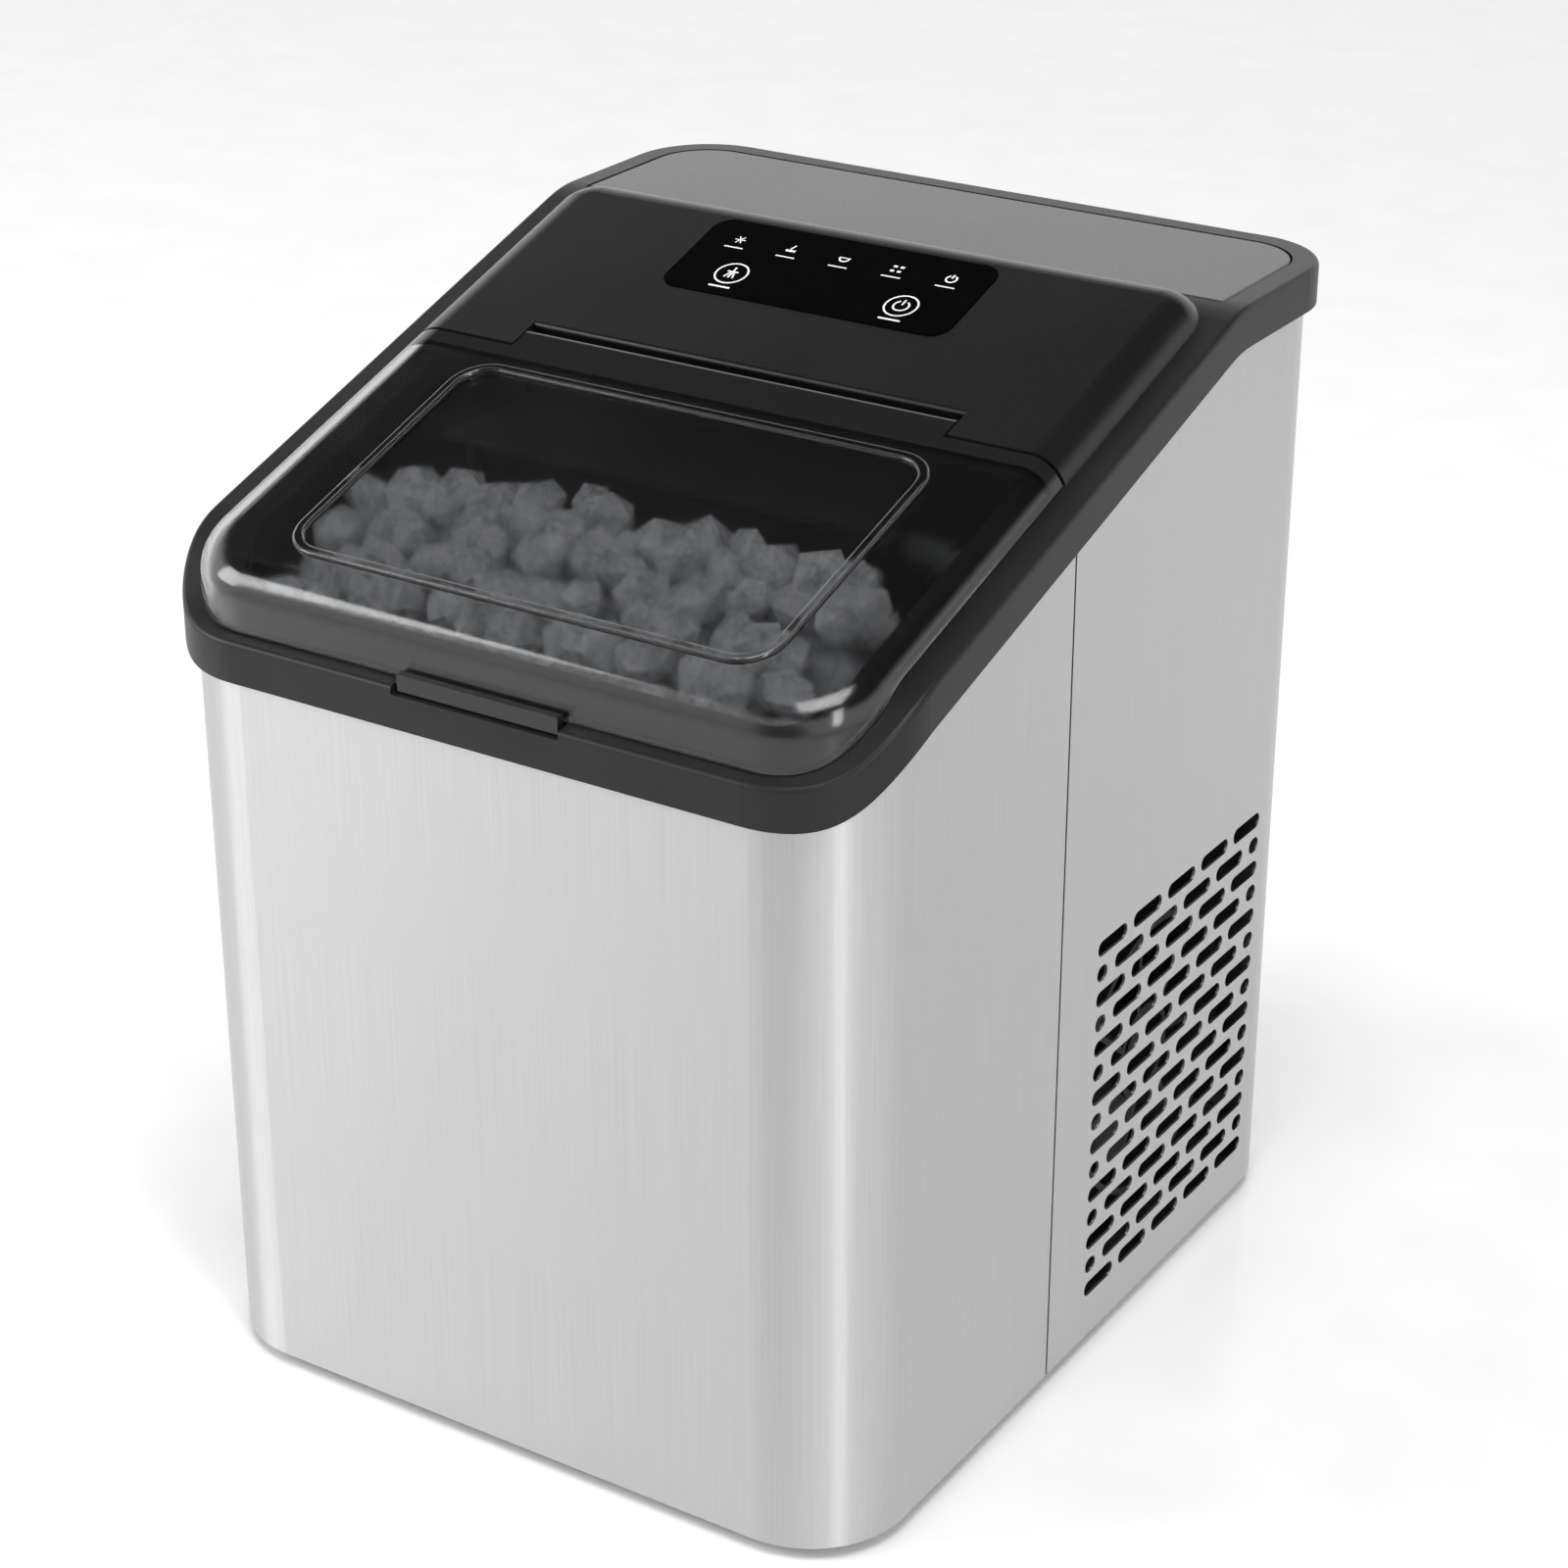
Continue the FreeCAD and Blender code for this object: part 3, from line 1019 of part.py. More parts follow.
def capillary_tube():
    z = FLOOR_Z + 108.0
    end = (-TUBE_X + 12.0, CHAMBER_REAR + 24.0, TUBE_Z - 14.0)
    route = [(DRIER_X, DRIER_Y, z), (DRIER_X, DRIER_Y, z + 30.0), (DRIER_X, CHAMBER_REAR + 24.0, z + 30.0),
             (end[0], end[1], z + 30.0), end]
    return tube(route, 1.2, 6.0)


def discharge_line():
    x = COND_X + COND_T / 2
    z = coil_rows()[-1]
    high = COMP_Z + COMP_H + 14.0
    route = [(COMP_X + DISCHARGE_DX, COMP_Y, COMP_Z + COMP_H - 0.2), (COMP_X + DISCHARGE_DX, COMP_Y, high),
             (x, COMP_Y, high), (x, COND_Y + COND_L + 17.0, high), (x, COND_Y + COND_L + 17.0, z),
             (x, COND_Y + COND_L + 9.0, z)]
    return tube(route, DISCHARGE_R, 5.0)


def suction_line():
    y = CHAMBER_REAR + 12.0
    route = [(-TUBE_X, y, TUBE_Z), (-TUBE_X, SUCTION_Y, TUBE_Z), (-TUBE_X, SUCTION_Y, COMP_Z + COMP_H + 24.0),
             (COMP_X + SUCTION_DX, SUCTION_Y, COMP_Z + COMP_H + 24.0),
             (COMP_X + SUCTION_DX, SUCTION_Y, COMP_Z + COMP_H - 3.0)]
    return tube(route, SUCTION_R, 6.0)


VALVE_X = 18.0
VALVE_Y = CHAMBER_REAR + 26.0


def hot_gas_valve():
    z = TUBE_Z - 74.0
    body = rod(VALVE_X, VALVE_Y, z, "z", 7.0, 22.0)
    coil = block(VALVE_X - 12.0, VALVE_X + 12.0, VALVE_Y - 11.0, VALVE_Y + 11.0, z + 22.0, z + 44.0, 3.0, 3.0)
    return join(body, coil, rod(VALVE_X, VALVE_Y, z + 44.0, "z", 4.0, 3.0))


def hot_gas_line():
    z = TUBE_Z - 66.0
    y = CHAMBER_REAR + 12.0
    route = [(VALVE_X + 7.0, VALVE_Y, z), (TUBE_X + 8.0, VALVE_Y, z), (TUBE_X + 8.0, VALVE_Y, TUBE_Z),
             (TUBE_X, VALVE_Y - 3.0, TUBE_Z), (TUBE_X, y, TUBE_Z)]
    return tube(route, 2.6, 3.0)


BOARD_Z = RIM_Z - 26.0
BOARD_FRONT = CHAMBER_REAR + 12.0
BOARD_BACK = BACK_Y - 14.0
BOARD_X0 = -92.0
BOARD_X1 = -42.0


def power_board_box():
    out = block(BOARD_X0 - 3.0, BOARD_X1 + 3.0, BOARD_FRONT - 3.0, BOARD_BACK + 3.0,
                BOARD_Z - 4.0, BOARD_Z + 24.0, 3.0, 3.0)
    tray = out.cut(box(BOARD_X0 - 1.4, BOARD_X1 + 1.4, BOARD_FRONT - 1.4, BOARD_BACK + 1.4,
                       BOARD_Z - 2.4, FAR))
    lug = box(BOARD_X0 + 16.0, BOARD_X1 + 3.0, BOARD_BACK + 2.0, BACK_Y - SHEET - FIT,
              BOARD_Z + 4.0, BOARD_Z + 7.0)
    posts = [rod(x, y, BOARD_Z - 3.0, "z", 2.5, 3.0) for x in (BOARD_X0 + 4, BOARD_X1 - 4)
             for y in (BOARD_FRONT + 4, BOARD_BACK - 4)]
    return join(tray, lug, *posts)


def power_board():
    return box(BOARD_X0, BOARD_X1, BOARD_FRONT, BOARD_BACK, BOARD_Z, BOARD_Z + BOARD_T)


def board_parts():
    z = BOARD_Z + BOARD_T
    x = BOARD_X0
    y = BOARD_FRONT
    transformer = box(x + 4, x + 26, y + 4, y + 22, z, z + 16)
    capacitor = rod(x + 38, y + 12, z, "z", 6.0, 18.0)
    relays = [box(x + dx, x + dx + 10, y + 28, y + 46, z, z + 13) for dx in (4, 18)]
    terminal_block = box(x + 34, x + 46, y + 30, y + 38, z, z + 8)
    return Part.makeCompound([transformer, capacitor, *relays, terminal_block])


def ribbon_cable():
    y0 = OVERLAY_MID + OVERLAY_L / 2 - 4.0
    z0 = top_z(y0) - (DISPLAY_DEEP + BOARD_T) / math.cos(TILT) - 0.5
    z1 = BOARD_Z + BOARD_T + 14.0
    drop = box(-46.0, -34.0, y0 - 1.0, y0, z1, z0)
    run = box(-70.0, -34.0, y0 - 1.0, y0 + 0.0, z1, z1 + 1.0)
    over = box(-70.0, -58.0, y0 - 1.0, y0 + 4.0, z1, z1 + 1.0)
    return join(drop, run, over)


def power_inlet():
    z = INLET_Z
    flange = block(INLET_X - 19.0, INLET_X + 19.0, BACK_Y, BACK_Y + 2.0, z - 13.0, z + 13.0)
    body = box(INLET_X - INLET_W / 2, INLET_X + INLET_W / 2, BACK_Y - INLET_D, BACK_Y + 1,
               z - INLET_H / 2, z + INLET_H / 2)
    hollow = box(INLET_X - INLET_W / 2 + 1.8, INLET_X + INLET_W / 2 - 1.8, BACK_Y - INLET_D + 3.0, BACK_Y + 5,
                 z - INLET_H / 2 + 1.8, z + INLET_H / 2 - 1.8)
    blades = [box(INLET_X + dx - 1.0, INLET_X + dx + 1.0, BACK_Y - INLET_D - 6.0, BACK_Y - 6.0,
                  z + dz - 2.0, z + dz + 2.0)
              for dx, dz in ((-7.0, -1.5), (0.0, 2.5), (7.0, -1.5))]
    return join(join(flange, body).cut(hollow), *blades)


def rear_screws():
    return Part.makeCompound([screw(x, BACK_Y, z, 8.0) for x, z in REAR_SCREWS])


def main():
    os.makedirs("parts", exist_ok=True)
    front, rear = wraps()
    nodes = {
        "front_wrap": front, "rear_wrap": rear, "base_pan": base_pan(), "rubber_feet": rubber_feet(),
        "top_bezel": top_bezel(), "rear_top_cover": rear_top_cover(), "lid": lid(),
        "lid_hinge_pins": lid_hinge_pins(), "control_panel_cover": control_panel_cover(),
        "touch_panel_overlay": touch_panel_overlay(), "display_board": display_board(),
        "touch_springs": touch_springs(), "inner_tank": inner_tank(), "tank_foam": tank_foam(),
        "ice_basket": ice_basket(), "ice_level_sensors": sensors(), "water_level_probe": water_level_probe(),
        "evaporator_plate": evaporator_plate(), "evaporator_fingers": evaporator_fingers(),
        "evaporator_tube": evaporator_tube(), "evaporator_bracket": evaporator_bracket(),
        "ice_pusher": ice_pusher(), "water_tray": water_tray(), "tray_shaft": tray_shaft(),
        "tray_bushes": tray_bushes(), "tray_motor": tray_motor(), "tray_switches": tray_switches(),
        "water_pump_body": water_pump_body(), "pump_impeller": pump_impeller(), "pump_hose": pump_hose(),
        "drain_outlet": drain_outlet(), "drain_plug": drain_plug(), "drain_plug_seal": drain_plug_seal(),
        "bulkhead": bulkhead(), "compressor_shell": compressor_shell(), "compressor_core": compressor_core(),
        "compressor_grommets": compressor_grommets(), "compressor_nuts": compressor_nuts(),
        "compressor_terminal_cover": compressor_terminal_cover(), "condenser_fins": condenser_fins(),
        "condenser_coil": condenser_coil(), "fan_shroud": fan_shroud(), "fan_motor": fan_motor(),
        "fan_blade": fan_blade(), "filter_drier": filter_drier(), "capillary_tube": capillary_tube(),
        "discharge_line": discharge_line(), "suction_line": suction_line(), "hot_gas_valve": hot_gas_valve(),
        "hot_gas_line": hot_gas_line(), "power_board_box": power_board_box(), "power_board": power_board(),
        "board_parts": board_parts(), "ribbon_cable": ribbon_cable(), "power_inlet": power_inlet(),
        "rear_screws": rear_screws(),
    }
    for name, shape in nodes.items():
        shape.exportStep("parts/" + name + ".step")
        solids = len(shape.Solids)
        size = shape.BoundBox
        print(name, "solids", solids, "valid", shape.isValid(), "volume_cm3", round(shape.Volume / 1000, 2),
              "z", round(size.ZMin, 1), round(size.ZMax, 1))
    print("hinge axis", round(AXIS.y, 4), round(AXIS.z, 4), "tray axis", TRAY_Y, round(TRAY_Z, 4),
          "pusher axis", PUSHER_Y, round(PUSHER_Z, 4), "fan", round(FAN_MID, 3), FAN_Y, FAN_Z,
          "pump", SUMP_X, round(SUMP_Y, 4), "basket", BASKET_FRONT, round(BASKET_Z, 2),
          "chamber", round(CHAMBER_FLOOR, 2))


main()
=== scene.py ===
"""Looks of a countertop ice maker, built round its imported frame. Metres, +X right, +Y back, +Z up."""
from __future__ import annotations

import json
import logging
import math
import random
from dataclasses import dataclass
from enum import Enum

import bmesh
import bpy
from mathutils import Matrix, Vector

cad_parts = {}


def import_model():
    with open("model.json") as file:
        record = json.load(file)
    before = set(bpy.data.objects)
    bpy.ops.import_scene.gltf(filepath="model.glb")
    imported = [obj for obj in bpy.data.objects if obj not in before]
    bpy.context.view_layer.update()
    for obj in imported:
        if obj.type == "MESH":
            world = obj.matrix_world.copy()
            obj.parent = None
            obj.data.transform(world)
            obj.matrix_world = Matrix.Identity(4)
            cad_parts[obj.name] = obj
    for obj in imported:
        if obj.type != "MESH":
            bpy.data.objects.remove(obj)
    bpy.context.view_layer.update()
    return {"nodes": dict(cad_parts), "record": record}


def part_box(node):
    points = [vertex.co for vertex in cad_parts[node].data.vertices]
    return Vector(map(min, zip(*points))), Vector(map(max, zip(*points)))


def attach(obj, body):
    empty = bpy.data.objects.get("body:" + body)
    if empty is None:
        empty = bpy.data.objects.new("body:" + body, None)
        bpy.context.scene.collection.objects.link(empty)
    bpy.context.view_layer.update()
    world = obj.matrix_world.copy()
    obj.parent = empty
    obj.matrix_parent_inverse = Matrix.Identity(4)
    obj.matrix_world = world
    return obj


LOG = logging.getLogger("ice_maker")
MM = 0.001
SLOPE = 0.311
TILT = math.atan(SLOPE)
CABINET = "cabinet_body"


class Grain(Enum):
    """Direction in which a surface was worked."""

    NONE = (1.0, 1.0, 1.0)
    UPRIGHT = (1.0, 1.0, 0.006)
    ALONG_X = (0.01, 1.0, 1.0)


def linear(hex_colour: str) -> tuple[float, float, float, float]:
    """Turns an sRGB hex colour into linear RGBA.

    Args:
        hex_colour: Colour as "#RRGGBB".

    Returns:
        Linear red, green, blue and an alpha of one.
    """
    parts = [int(hex_colour[i:i + 2], 16) / 255 for i in (1, 3, 5)]
    red, green, blue = [p / 12.92 if p <= 0.04045 else ((p + 0.055) / 1.055) ** 2.4 for p in parts]
    return red, green, blue, 1.0


def add(tree: bpy.types.NodeTree, kind: str, settings: dict[str | int, object] | None = None,
        links: dict[str | int, bpy.types.NodeSocket] | None = None, **attributes: object) -> bpy.types.Node:
    """Adds one shader node.

    Args:
        tree: Node tree that takes the node.
        kind: Blender's type name of the node.
        settings: Socket name to value.
        links: Socket name to the output socket that feeds it.
        attributes: Attributes of the node itself.

    Returns:
        The new node.
    """
    node = tree.nodes.new(kind)
    for name, value in attributes.items():
        setattr(node, name, value)
    for name, value in (settings or {}).items():
        node.inputs[name].default_value = value
    for name, source in (links or {}).items():
        tree.links.new(source, node.inputs[name])
    return node


def start_material(name: str) -> tuple[bpy.types.Material, bpy.types.NodeTree, bpy.types.NodeSocket]:
    """Makes an empty node material.

    Args:
        name: Name of the material.

    Returns:
        The material, its tree and the Object coordinates' output.
    """
    material = bpy.data.materials.new(name)
    material.use_nodes = True
    tree = material.node_tree
    tree.nodes.clear()
    coords = add(tree, "ShaderNodeTexCoord")
    return material, tree, coords.outputs["Object"]


def grain_noise(tree: bpy.types.NodeTree, coords: bpy.types.NodeSocket, size_mm: float, grain: Grain,
                detail: float = 3.0) -> bpy.types.NodeSocket:
    """Adds a noise whose features have a real size.

    Args:
        tree: Node tree.
        coords: Object coordinates.
        size_mm: Width of a feature in millimetres.
        grain: Direction along which features are drawn out.
        detail: Octaves of the noise.

    Returns:
        The noise's factor output.
    """
    per_metre = 1.0 / (size_mm * MM)
    scale = tuple(per_metre * share for share in grain.value)
    mapping = add(tree, "ShaderNodeMapping", {"Scale": scale}, {"Vector": coords})
    noise = add(tree, "ShaderNodeTexNoise", {"Scale": 1.0, "Detail": detail, "Roughness": 0.55},
                {"Vector": mapping.outputs["Vector"]})
    return noise.outputs["Factor"] if "Factor" in noise.outputs else noise.outputs["Fac"]


def ranged(tree: bpy.types.NodeTree, source: bpy.types.NodeSocket, low: float,
           high: float) -> bpy.types.NodeSocket:
    """Spreads a noise's middle part over a range.

    Args:
        tree: Node tree.
        source: Factor from 0 to 1.
        low: Value at a factor of 0.3.
        high: Value at a factor of 0.7.

    Returns:
        The value.
    """
    settings = {"From Min": 0.3, "From Max": 0.7, "To Min": low, "To Max": high}
    return add(tree, "ShaderNodeMapRange", settings, {"Value": source}).outputs["Result"]


def two_tone(tree: bpy.types.NodeTree, source: bpy.types.NodeSocket, dark: str,
             light: str) -> bpy.types.NodeSocket:
    """Blends two hex colours by a factor.

    Args:
        tree: Node tree.
        source: Factor from 0 to 1.
        dark: Colour at the low end.
        light: Colour at the high end.

    Returns:
        The colour.
    """
    ramp = add(tree, "ShaderNodeValToRGB", None, {"Fac": source})
    ramp.color_ramp.elements[0].position = 0.3
    ramp.color_ramp.elements[0].color = linear(dark)
    ramp.color_ramp.elements[1].position = 0.7
    ramp.color_ramp.elements[1].color = linear(light)
    return ramp.outputs["Color"]


def finish_surface(tree: bpy.types.NodeTree, settings: dict, links: dict) -> None:
    """Adds the shader and the output.

    Args:
        tree: Node tree.
        settings: Constant sockets of the shader.
        links: Varying sockets of the shader.
    """
    shader = add(tree, "ShaderNodeBsdfPrincipled", settings, links)
    add(tree, "ShaderNodeOutputMaterial", None, {"Surface": shader.outputs["BSDF"]})


def bumped(tree: bpy.types.NodeTree, height: bpy.types.NodeSocket, depth_mm: float,
           strength: float) -> bpy.types.NodeSocket:
    """Turns a height into a normal.

    Args:
        tree: Node tree.
        height: Height from 0 to 1.
        depth_mm: Depth of the relief in millimetres.
        strength: Share of the relief that shows.

    Returns:
        The normal.
    """
    settings = {"Strength": strength, "Distance": depth_mm * MM}
    return add(tree, "ShaderNodeBump", settings, {"Height": height}).outputs["Normal"]


@dataclass(frozen=True)
class Moulded:
    """Injection-moulded plastic or rubber: soft highlight broken by a fine moulded grain."""

    name: str
    dark: str
    light: str
    roughness: float
    grain_mm: float = 0.5
    depth_mm: float = 0.02
    strength: float = 0.25
    coat: float = 0.0
    specular: float = 0.5

    def make(self) -> bpy.types.Material:
        """Makes the material."""
        material, tree, coords = start_material(self.name)
        fine = grain_noise(tree, coords, self.grain_mm, Grain.NONE)
        broad = grain_noise(tree, coords, 45.0, Grain.NONE, 1.0)
        links = {"Base Color": two_tone(tree, broad, self.dark, self.light),
                 "Roughness": ranged(tree, fine, self.roughness - 0.04, self.roughness + 0.04),
                 "Normal": bumped(tree, fine, self.depth_mm, self.strength)}
        finish_surface(tree, {"IOR": 1.5, "Specular IOR Level": self.specular, "Coat Weight": self.coat,
                              "Coat Roughness": 0.12}, links)
        return material


@dataclass(frozen=True)
class Metal:
    """Worked metal: its grain stretches the highlight across the working direction."""

    name: str
    dark: str
    light: str
    roughness: float
    grain: Grain = Grain.NONE
    grain_mm: float = 0.6
    spread: float = 0.05
    depth_mm: float = 0.01
    strength: float = 0.2
    anisotropic: float = 0.0
    highlight_turn: float = 0.0

    def make(self) -> bpy.types.Material:
        """Makes the material."""
        material, tree, coords = start_material(self.name)
        fine = grain_noise(tree, coords, self.grain_mm, self.grain, 4.0)
        links = {"Base Color": two_tone(tree, fine, self.dark, self.light),
                 "Roughness": ranged(tree, fine, self.roughness - self.spread, self.roughness + self.spread),
                 "Normal": bumped(tree, fine, self.depth_mm, self.strength)}
        finish_surface(tree, {"Metallic": 1.0, "Anisotropic": self.anisotropic,
                              "Anisotropic Rotation": self.highlight_turn}, links)
        return material


@dataclass(frozen=True)
class SmokedAcrylic:
    """Smoke-tinted clear acrylic: gloss outside, dimmed and hazy view inside; at the front tab and the rear hinge
    strip it is opaque near-black, a painted shade band.
    """

    name: str = "smoked_acrylic"
    tint: str = "#B8B8BA"
    # Painted shade: near-black colour of the opaque bands at the front tab and the rear hinge strip.
    painted_shade: str = "#1A1A1B"
    roughness: float = 0.11
    middle_y: float = -77.0 * MM
    clear_half: float = 52.6 * MM

    def make(self) -> bpy.types.Material:
        """Makes the material."""
        material, tree, coords = start_material(self.name)
        haze = grain_noise(tree, coords, 30.0, Grain.NONE, 1.0)
        place = add(tree, "ShaderNodeSeparateXYZ", links={"Vector": coords}).outputs["Y"]
        # Painted shade: outside this span along Y the lid is not see-through but opaque near-black. This stands in
        # for the dark band seen there.
        clear = add(tree, "ShaderNodeMath", {1: self.middle_y, 2: self.clear_half}, {0: place},
                    operation="COMPARE").outputs["Value"]
        links = {"Roughness": ranged(tree, haze, self.roughness, self.roughness + 0.03),
                 "Base Color": two_tone(tree, clear, self.painted_shade, self.tint),
                 "Transmission Weight": clear}
        finish_surface(tree, {"IOR": 1.49}, links)
        return material


@dataclass(frozen=True)
class ClearIce:
    """Freshly frozen ice: clear edges, cloudy core, wet uneven surface."""

    name: str = "clear_ice"
    cloudy: str = "#FBFCFC"
    clear: str = "#E6EAEB"

    def make(self) -> bpy.types.Material:
        """Makes the material."""
        material, tree, coords = start_material(self.name)
        cloud = grain_noise(tree, coords, 7.0, Grain.NONE)
        crust = grain_noise(tree, coords, 2.5, Grain.NONE)
        links = {"Base Color": two_tone(tree, cloud, self.clear, self.cloudy),
                 "Roughness": ranged(tree, crust, 0.12, 0.4),
                 "Transmission Weight": ranged(tree, cloud, 0.45, 0.05),
                 "Normal": bumped(tree, crust, 0.5, 0.6)}
        finish_surface(tree, {"IOR": 1.31}, links)
        return material


class Finish(Enum):
    """Every finish of the ice maker."""

    STEEL = Metal("brushed_stainless", "#B4B4B4", "#BCBCBC", 0.36, Grain.UPRIGHT, 0.5, 0.03, 0.008, 0.12,
                  anisotropic=0.8, highlight_turn=0.25)
    ZINC = Metal("zinc_plated_sheet", "#8F9294", "#A7AAAC", 0.42, Grain.NONE, 6.0)
    BRIGHT = Metal("bright_steel", "#B8B8B8", "#CFCFCF", 0.22, Grain.ALONG_X, 0.4)
    NICKEL = Metal("nickel_plated_copper", "#B5B2AA", "#CBC8C0", 0.25, Grain.NONE, 3.0)
    COPPER = Metal("drawn_copper", "#B4714E", "#C98A63", 0.3, Grain.NONE, 4.0)
    FIN = Metal("aluminium_fin_stock", "#C4C6C8", "#D6D8DA", 0.35, Grain.UPRIGHT, 0.8)
    ENAMEL = Moulded("black_enamel", "#0B0B0C", "#101011", 0.28, 1.2, 0.03, 0.2, 0.3)
    RIM = Moulded("satin_abs_charcoal", "#1B1B1B", "#212121", 0.4, specular=0.24)
    PANEL = Moulded("satin_abs_black", "#0E0E0E", "#131313", 0.3, 0.4, 0.01, 0.12, 0.04, 0.32)
    COVER = Moulded("satin_abs_rear", "#2E2E2E", "#343434", 0.34, 0.5, 0.01, 0.15, 0.08)
    ACRYLIC = SmokedAcrylic()
    ICE = ClearIce()
    GLASS_BLACK = Moulded("printed_gloss_film", "#010101", "#020202", 0.08, 3.0, 0.004, 0.05, specular=0.22)
    WHITE_INK = Moulded("white_ink", "#E6E6E6", "#F0F0F0", 0.5, 0.3, 0.004, 0.1)
    TANK = Moulded("moulded_polypropylene_dark", "#1B1C1D", "#222324", 0.38)
    BASKET = Moulded("moulded_polypropylene_grey", "#9B9EA0", "#A8ABAD", 0.4)
    FOAM = Moulded("polyurethane_foam", "#D8CDA2", "#E2D8B2", 0.85, 2.0, 0.3, 0.6)
    NYLON = Moulded("moulded_nylon", "#17181A", "#1E1F21", 0.45)
    RUBBER = Moulded("moulded_rubber", "#101010", "#161616", 0.75, 0.6, 0.05, 0.4)
    LAMINATE = Moulded("board_laminate", "#0E4A22", "#125A2B", 0.4, 1.5, 0.02, 0.3)
    PARTS = Moulded("moulded_components", "#2A2B2E", "#34363A", 0.4)
    SILICONE = Moulded("silicone_hose", "#C9CFD0", "#D6DBDC", 0.35)
    FLOOR = Moulded("pale_studio_floor", "#F8F8F8", "#FCFCFC", 0.16, 4.0, 0.01, 0.05)


SLOT_FINISH = {
    "steel_cabinet": Finish.STEEL, "galvanised": Finish.ZINC, "rubber": Finish.RUBBER,
    "rim_plastic": Finish.RIM, "panel_plastic": Finish.PANEL, "lid_plastic": Finish.ACRYLIC,
    "overlay": Finish.GLASS_BLACK, "circuit_board": Finish.LAMINATE, "electronics": Finish.PARTS,
    "spring_steel": Finish.BRIGHT, "tank_plastic": Finish.TANK, "foam": Finish.FOAM,
    "basket_plastic": Finish.BASKET, "dark_plastic": Finish.NYLON, "nickel": Finish.NICKEL,
    "copper": Finish.COPPER, "aluminium": Finish.FIN, "black_paint": Finish.ENAMEL,
    "clear_hose": Finish.SILICONE, "steel_bright": Finish.BRIGHT,
}
NODE_FINISH = {"rear_top_cover": Finish.COVER}


class Finishes:
    """Makes each finish once and gives it out."""

    def __init__(self) -> None:
        """Starts with no material made."""
        self.made: dict[Finish, bpy.types.Material] = {}

    def get(self, finish: Finish) -> bpy.types.Material:
        """Gives the material of a finish.

        Args:
            finish: The finish wanted.

        Returns:
            Its material, made on first use.
        """
        if finish not in self.made:
            self.made[finish] = finish.value.make()
        return self.made[finish]

    def dress(self, piece: bpy.types.Object, finish: Finish) -> None:
        """Gives a piece one finish all over.

        Args:
            piece: Object to dress.
            finish: Its finish.
        """
        piece.data.materials.clear()
        piece.data.materials.append(self.get(finish))
        for face in piece.data.polygons:
            face.material_index = 0


def to_object(mesh: bmesh.types.BMesh, name: str, smooth: bool = True) -> bpy.types.Object:
    """Turns a bmesh into an object at the origin.

    Args:
        mesh: Finished bmesh, freed here.
        name: Name of the piece.
        smooth: Whether faces are shaded smooth.

    Returns:
        The new object, linked to the scene.
    """
    bmesh.ops.recalc_face_normals(mesh, faces=mesh.faces)
    data = bpy.data.meshes.new(name)
    mesh.to_mesh(data)
    mesh.free()
    for face in data.polygons:
        face.use_smooth = smooth
    piece = bpy.data.objects.new(name, data)
    bpy.context.scene.collection.objects.link(piece)
    return piece


@dataclass
class SlopePlane:
    """The common top plane of the lid and the control panel."""

    height: float

    @classmethod
    def from_frame(cls) -> SlopePlane:
        """Finds the plane from the touch field, whose top stands 0.2 mm above it."""
        low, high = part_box("touch_panel_overlay")
        middle = (low + high) / 2
        return cls(middle.z + 0.2 * MM / math.cos(TILT) - SLOPE * middle.y)

    def z(self, y: float) -> float:
        """Height of the plane at depth y."""
        return self.height + SLOPE * y

    def placed(self, y: float, lift: float = 0.0) -> Matrix:
        """Matrix that lays a flat drawing on the plane, its origin at depth y, lifted along the normal."""
        place = Matrix.Translation((0, y, self.z(y)))
        return place @ Matrix.Rotation(TILT, 4, "X") @ Matrix.Translation((0, 0, lift))


